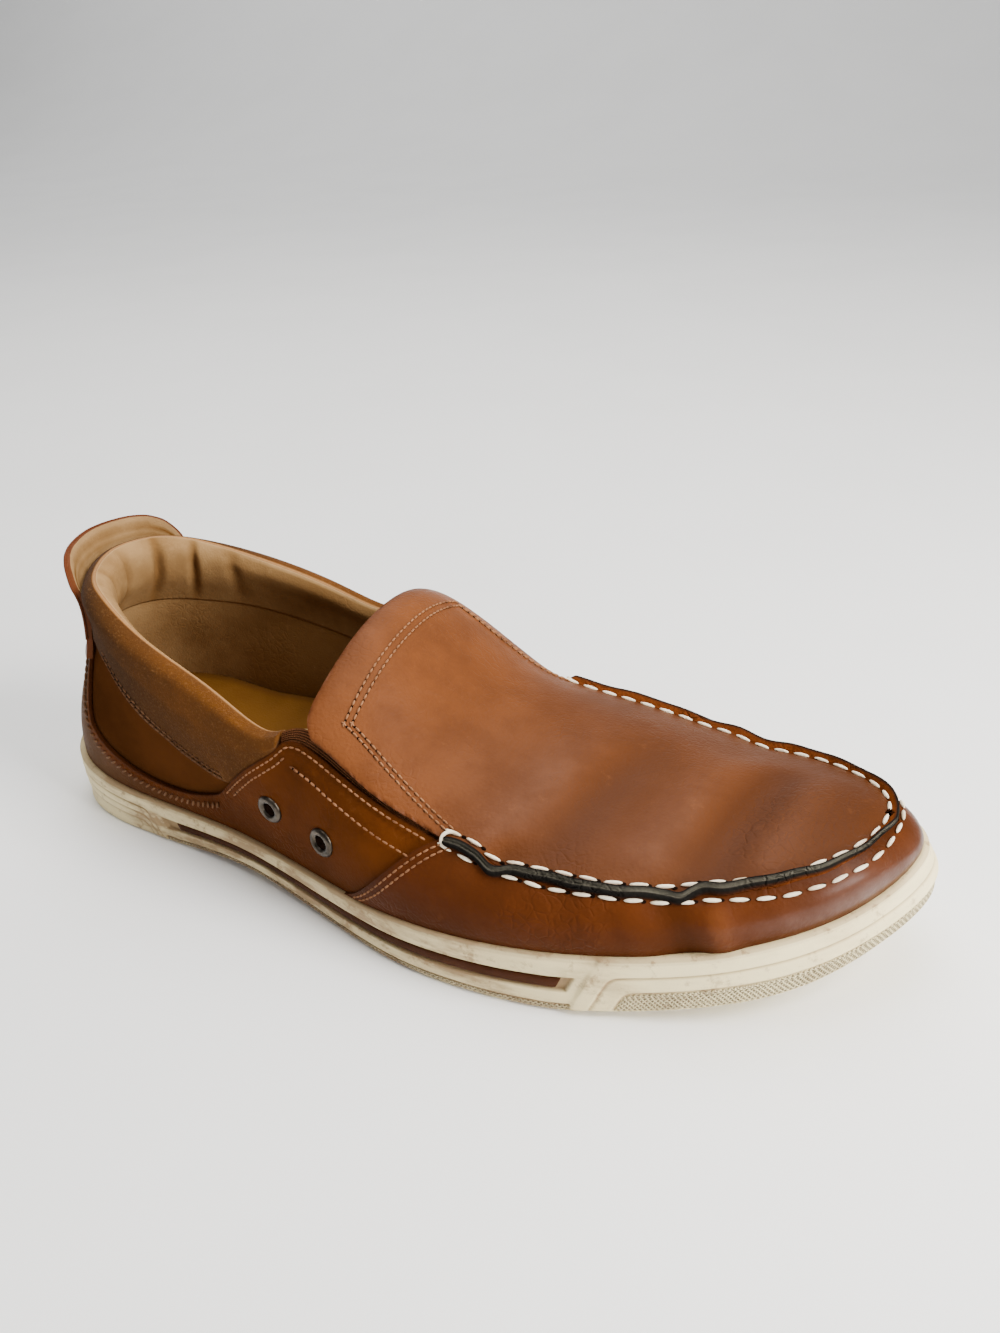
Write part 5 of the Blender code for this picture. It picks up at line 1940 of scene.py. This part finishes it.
    def build_loop(self, name: str, inner: Row, outer: Row, k: int, end: Array, up: Array) -> None:
        """White thread turned round the ridge's end.

        Args:
            name: the piece's name.
            inner: the row on the plug.
            outer: the row on the vamp.
            k: 0 for their start, -1 for their end.
            end: the ridge's end.
            up: its normal.
        """
        near = np.linspace(self.thread_start, 9, 9) if k == 0 else (
            np.linspace(TURNS - 9, TURNS - self.thread_start, 9))
        back = end - LAST.seam_frame(near)[0][-1 - k]
        back /= np.linalg.norm(back)
        a, b = inner[0][k], outer[0][k]
        t = np.linspace(0, math.pi, 24)
        middle, half = (a + b) / 2, (a - b) / 2
        path = middle + half * np.cos(t)[:, None] + back * 1.9 * np.sin(t)[:, None]
        path += up * (0.9 * np.sin(t))[:, None]
        ride(cord_object(name, path, up, self.loop_radius, self.finishes["white_thread"]), "")


@dataclass
class Collar:
    """Padded suede collar with its lining, and the heel tab behind it."""

    finishes: Finishes
    reach: float = 5.38
    shell: float = 1.6
    crest: int = 32
    rows: Pair = (0.03, 0.062)
    row_span: Pair = (2.2, 4.1)
    row_lift: float = 1.55
    pleats: tuple[Triple, ...] = ((-2.55, 0.13, 0.6), (-1.68, 0.10, 1.2), (-0.78, 0.12, 1.3),
                                  (0.1, 0.10, 0.7), (0.95, 0.1, 0.5))
    tab_wall: float = 1.9
    tab_edge: float = 0.8
    tab_binding: float = 0.5
    tab_root: float = -24.0
    tab_base: float = 2.4
    tab_lean: float = 0.2
    tab_medial: float = 1.13

    def build(self) -> None:
        """Makes the collar and the tab."""
        self.build_roll()
        self.build_tab()
        self.sew()

    def gathers(self, u: Array) -> Array:
        """Soft pleats of the lining at the back of the heel.

        Args:
            u: section numbers.

        Returns:
            Depth of the pleats in mm.
        """
        side = np.minimum(u % TURNS, TURNS - u % TURNS)
        sign = np.where(u % TURNS > TIP, -1.0, 1.0) * side
        return sum(deep * bump_at(sign, centre, wide) for centre, wide, deep in self.pleats)

    def build_roll(self) -> None:
        """Outer suede, crest and inner lining as one padded ring, open at the throat."""
        u = np.linspace(-self.reach, self.reach, 300)
        low, pad = read(COLLAR_LOW, u), read(COLLAR_PAD, u)
        rise = np.interp(pad, (1.4, 5.5), (2.0, 4.6))
        top, n = LAST.rib(u, 0.955), LAST.rib_normal(u, 0.955)
        way = unit(LAST.rib(u, 0.965) - LAST.rib(u, 0.935))
        full = self.shell + pad
        gather = self.gathers(u)

        def over(up: Array | float, out: Array | float) -> Array:
            """Points near the top edge.

            Args:
                up: mm above it.
                out: mm outside it.

            Returns:
                One point a section.
            """
            up, out = (np.broadcast_to(size, u.shape)[:, None] for size in (up, out))
            return top + way * up + n * out

        mid = (low + 0.95) / 2
        shown = [LAST.rib(u, low, 1.15), LAST.rib(u, low * 0.6 + mid * 0.4, 1.5),
                 LAST.rib(u, mid, 2.0), LAST.rib(u, 0.9, 2.5), over(1.0, 2.2),
                 over(rise * 0.8, 0.9 - 0.12 * pad), over(rise, -0.40 * full),
                 over(rise * 0.78, -0.80 * full + 0.4 * gather),
                 over(-0.5, -full - 0.7 + 1.3 * gather),
                 LAST.rib(u, 0.86, -full - 0.4 + 2.2 * gather),
                 LAST.rib(u, 0.78, -full + 0.8 + 1.5 * gather),
                 LAST.rib(u, 0.68, -self.shell - 0.35 * pad + 0.8 * gather),
                 LAST.rib(u, 0.60, -self.shell - 0.25)]
        face = through(np.stack(shown, 1), 61)
        back = [LAST.rib(u, 0.6, -self.shell + 0.5), LAST.rib(u, 0.9, -self.shell + 0.5),
                over(0.5, -0.5 * self.shell), LAST.rib(u, 0.9, 0.2), LAST.rib(u, mid, 0.15),
                LAST.rib(u, low, 0.1)]
        loops = np.concatenate([face, np.stack(back, 1)], 1)
        made = tube_object("collar_roll", loops,
                           [self.finishes["collar_suede"], self.finishes["lining_leather"]],
                           slots=np.arange(loops.shape[1]) > self.crest)
        self.paint(made, loops)
        ride(made, "suede_tan", "collar")

    def paint(self, obj: bpy.types.Object, loops: Array) -> None:
        """Pale crest, rubbed wear and painted highlight; suede darker at the back and low down;
        painted shade on the far lining and in its pleats.

        Args:
            obj: the roll.
            loops: its points.
        """
        past = np.arange(loops.shape[1]) - self.crest
        pleats = self.gathers(np.linspace(-self.reach, self.reach, loops.shape[0]))[:, None]
        back = 1.0 * (1 - smooth_step(loops[..., 0], -5, 45))
        # Painted shade on the far lining, on the medial side towards the front.
        dark = 0.55 * smooth_step(loops[..., 1], 5, 32) * smooth_step(loops[..., 0], 0, 40)
        # Pale crest: painted highlight and rubbed wear; the suede darker low down and at the back.
        tone = bump_at(past, 0, 1.2) * 1.1 - 0.35 * (past < -20) - back * (past < -1)
        # Darker on the far lining and in the lining's pleats: painted shade.
        tone = tone - dark * (past > 3) - 0.45 * pleats * (past > 1)
        store_marks(obj.data, {"tone": np.clip(tone, -1, 1), "edge": 0 * tone})

    def build_tab(self) -> None:
        """Flared pull tab: leather outside, lining inside, dark edge."""
        s = np.concatenate([-np.linspace(1.5, 0, 60), np.linspace(0, 1.5, 60)[1:]])
        u = np.where(s < 0, s * self.tab_medial, s)
        edge = read(TAB_EDGE, s)
        top = LAST.at(u)[:, TX:TZ + 1]
        length = np.linalg.norm(top - LAST.rib(u, 0.7), axis=-1) / 0.3
        rows = []
        for part in np.linspace(0, 1, 26):
            high = self.tab_root + (edge - self.tab_root) * part
            share = 1 + np.minimum(high, 0) / length
            turn = smooth_step(high, -8, 0)[:, None]
            n = unit(LAST.rib_normal(u, share) * (1 - turn) + LAST.outward(u) * turn)
            over = np.maximum(high, 0)
            sunk = 1.2 * (1 - smooth_step(high, self.tab_root, -6))
            point = LAST.rib(u, share) + n * (self.tab_base - sunk + self.tab_lean * over)[:, None]
            point[:, 2] += over
            rows.append(point)
        face = np.stack(rows, 1)
        n = LAST.outward(u)
        made = grid_object("heel_tab_flare", face + n[:, None] * self.tab_wall,
                           [self.finishes["tab_leather"], self.finishes["lining_leather"]],
                           n[:, None] + 0 * face, marks={"edge": 0.0, "tone": self.tab_tone(face)})
        wall_it(made, self.tab_wall, self.tab_edge, inner=1)
        ride(made, "leather_brown", "heel_tab")
        rim = face[:, -1] + n * (self.tab_wall - 0.15)
        binding = cord_object("heel_tab_binding", rim, n, self.tab_binding,
                              self.finishes["tab_leather"])
        ride(binding, "leather_brown")

    def tab_tone(self, face: Array) -> Array:
        """Pale rolled lip along the tab's edge, and painted shade in the creases inside it.

        Args:
            face: grid of the tab.

        Returns:
            Below 0 darker, above 0 paler.
        """
        rows, columns = lengths(face, 0), lengths(face, 1)
        near = np.minimum(np.minimum(rows, rows[-1:] - rows), columns[:, -1:] - columns)
        # Painted shade in two creases inside the lip.
        return 0.25 * (near < 2.6) - 1.3 * bump_at(near, 3.4, 0.55) - 0.45 * bump_at(near, 6.6, 0.9)

    def sew(self) -> None:
        """Double row along the collar's lower edge."""
        rows = []
        for side in Side:
            for gap in self.rows:
                u = np.linspace(*self.row_span, 120)
                d = read(COLLAR_LOW, u) + gap
                normal = LAST.rib_normal(side.u(u), d)
                rows.append((LAST.rib(side.u(u), d, self.row_lift), normal))
        sew_fine("collar", rows, self.finishes, "brown_thread")


@dataclass
class Eyelets:
    """Two dark metal eyelets a side."""

    finishes: Finishes
    places: tuple[tuple[str, float, float], ...] = (("rear", 5.1, 0.38), ("front", 6.3, 0.295))
    outer: float = 4.7
    hole: float = 2.2
    lift: float = 1.5
    hole_shade_wall: float = 0.3

    def build(self) -> None:
        """Makes the rings and a dark disc in each, painted shade of the hole."""
        for side in Side:
            for place, u, d in self.places:
                self.build_one(side, place, float(side.u(u)), d)

    def build_one(self, side: Side, place: str, u: float, d: float) -> None:
        """One turned ring and a dark disc in it, painted shade of the hole.

        Args:
            side: lateral or medial.
            place: rear or front.
            u: its section number.
            d: its share up the rib.
        """
        here, n = LAST.rib(u, d, self.lift), LAST.rib_normal(u, d)
        a = LAST.bare_rib(u + 0.02, d) - LAST.bare_rib(u - 0.02, d)
        a /= np.linalg.norm(a)
        b = np.cross(n, a)
        turn = np.linspace(0, 2 * math.pi, 48, endpoint=False)
        ray = a * np.cos(turn)[:, None] + b * np.sin(turn)[:, None]
        hole, rim = self.hole, self.outer
        roll = ((hole, -0.8), (rim, -0.8), (rim, 0.25), (rim - 0.35, 0.75), (rim - 1.1, 1.05),
                (hole + 0.75, 1.0), (hole + 0.2, 0.6), (hole, -0.1))
        loops = np.stack([here + ray * r + n * h for r, h in roll], 1)
        name = "eyelet_" + side.value + "_" + place
        ring = tube_object(name + "_ring", loops, [self.finishes["eyelet_metal"]], closed=True)
        ride(ring, "metal_gunmetal", name)
        # Near-black disc inside the ring: painted shade of the hole.
        flat = ((0.02, 0.3), (1.2, 0.3), (hole + 0.35, 0.32))
        disc = np.stack([here + ray * r + n * h for r, h in flat], 1)
        made = grid_object(name + "_hole", disc, [self.finishes["painted_hole_shade"]], n + 0 * disc,
                           wrap=True)
        wall_it(made, self.hole_shade_wall, 0.0)
        ride(made, "metal_gunmetal")


@dataclass(frozen=True)
class Lamp:
    """A square area light: place and side in metres, power in watts, aimed at a point."""

    name: str
    place: Triple
    side: float
    power: float
    colour: Triple
    aim: Triple = (0.11, 0.0, 0.03)


LAMPS = (
    Lamp("key", (0.66, -0.02, 0.55), 0.30, 9.0, (1.0, 0.97, 0.93)),
    Lamp("top", (-0.05, 0.25, 1.3), 1.1, 22.0, (1.0, 0.98, 0.95)),
    Lamp("fill", (-0.6, -1.2, 0.8), 1.0, 1.5, (0.98, 0.98, 1.0)),
    Lamp("front", (0.86, -0.17, 0.27), 0.22, 5.6, (1.0, 0.98, 0.95), (0.25, -0.01, 0.03)),
    Lamp("far", (-1.2, 2.2, 2.0), 2.0, 34.0, (1.0, 1.0, 1.0), (-0.6, 1.7, 0.0)),
)


@dataclass
class Studio:
    """Floor, soft light and the camera; angles in degrees, place in metres, lens in mm."""

    finishes: Finishes
    azimuth: float = 27.43
    elevation: float = 29.58
    roll: float = -3.31
    place: Triple = (0.2651, -0.2578, 0.2380)
    lens: float = 30.4
    room: tuple[float, float, float, float] = (0.97, 0.98, 1.0, 1.0)
    room_strength: float = 0.30

    def build(self) -> None:
        """Sets the stage."""
        self.floor()
        for lamp in LAMPS:
            self.light(lamp)
        world = bpy.data.worlds.new("soft_room")
        world.use_nodes = True
        world.node_tree.nodes["Background"].inputs["Color"].default_value = self.room
        world.node_tree.nodes["Background"].inputs["Strength"].default_value = self.room_strength
        bpy.context.scene.world = world
        self.camera()

    def floor(self) -> None:
        """A pale floor that curves up far behind."""
        x = np.linspace(-3000, 3000, 60)
        y = np.linspace(-2500, 3000, 60)
        points = np.stack(np.broadcast_arrays(x[:, None], y[None, :], 0.0), -1).copy()
        points[..., 2] = 900 * smooth_step(points[..., 1], 1400, 3000) ** 2
        made = grid_object("floor", points, [self.finishes["floor"]], upward(points))
        made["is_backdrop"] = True

    def light(self, lamp: Lamp) -> None:
        """Adds a lamp to the scene.

        Args:
            lamp: its place, size and power.
        """
        data = bpy.data.lights.new(lamp.name, "AREA")
        data.shape = "RECTANGLE"
        data.size = data.size_y = lamp.side
        data.energy = lamp.power
        data.color = lamp.colour
        obj = bpy.data.objects.new(lamp.name, data)
        obj.location = lamp.place
        way = Vector(lamp.aim) - Vector(lamp.place)
        obj.rotation_euler = way.to_track_quat("-Z", "Y").to_euler()
        bpy.context.scene.collection.objects.link(obj)

    def camera(self) -> None:
        """Camera at the product's viewing angle."""
        data = bpy.data.cameras.new("camera")
        data.lens = self.lens
        data.clip_start, data.clip_end = 0.01, 50.0
        obj = bpy.data.objects.new("camera", data)
        a, e, r = (math.radians(v) for v in (self.azimuth, self.elevation, self.roll))
        back = Vector((math.sin(a) * math.cos(e), -math.cos(a) * math.cos(e), math.sin(e)))
        level = Vector((math.cos(a), math.sin(a), 0.0))
        rise = back.cross(level)
        right = level * math.cos(r) + rise * math.sin(r)
        up = rise * math.cos(r) - level * math.sin(r)
        turned = Matrix((right, up, back)).transposed().to_4x4()
        obj.matrix_world = Matrix.Translation(self.place) @ turned
        bpy.context.scene.collection.objects.link(obj)
        bpy.context.scene.camera = obj


def report_size() -> None:
    boxes = {"cad": [list(v) for v in CAD_BOX], "visual": [list(v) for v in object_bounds()]}
    for key, (low, high) in boxes.items():
        LOG.info("%s box: %s", key, [round((b - a) * 1000, 1) for a, b in zip(low, high)])


def main() -> None:
    """Builds the shoe piece by piece, then the studio."""
    logging.basicConfig(level=logging.INFO, format="%(name)s: %(message)s")
    LOG.info("frame: %d nodes", len(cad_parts))
    finishes = Finishes()
    for kind in (Cupsole, Upper, Apron, Collar, Eyelets, Studio):
        kind(finishes).build()
    report_size()


if __name__ == "__main__":
    main()
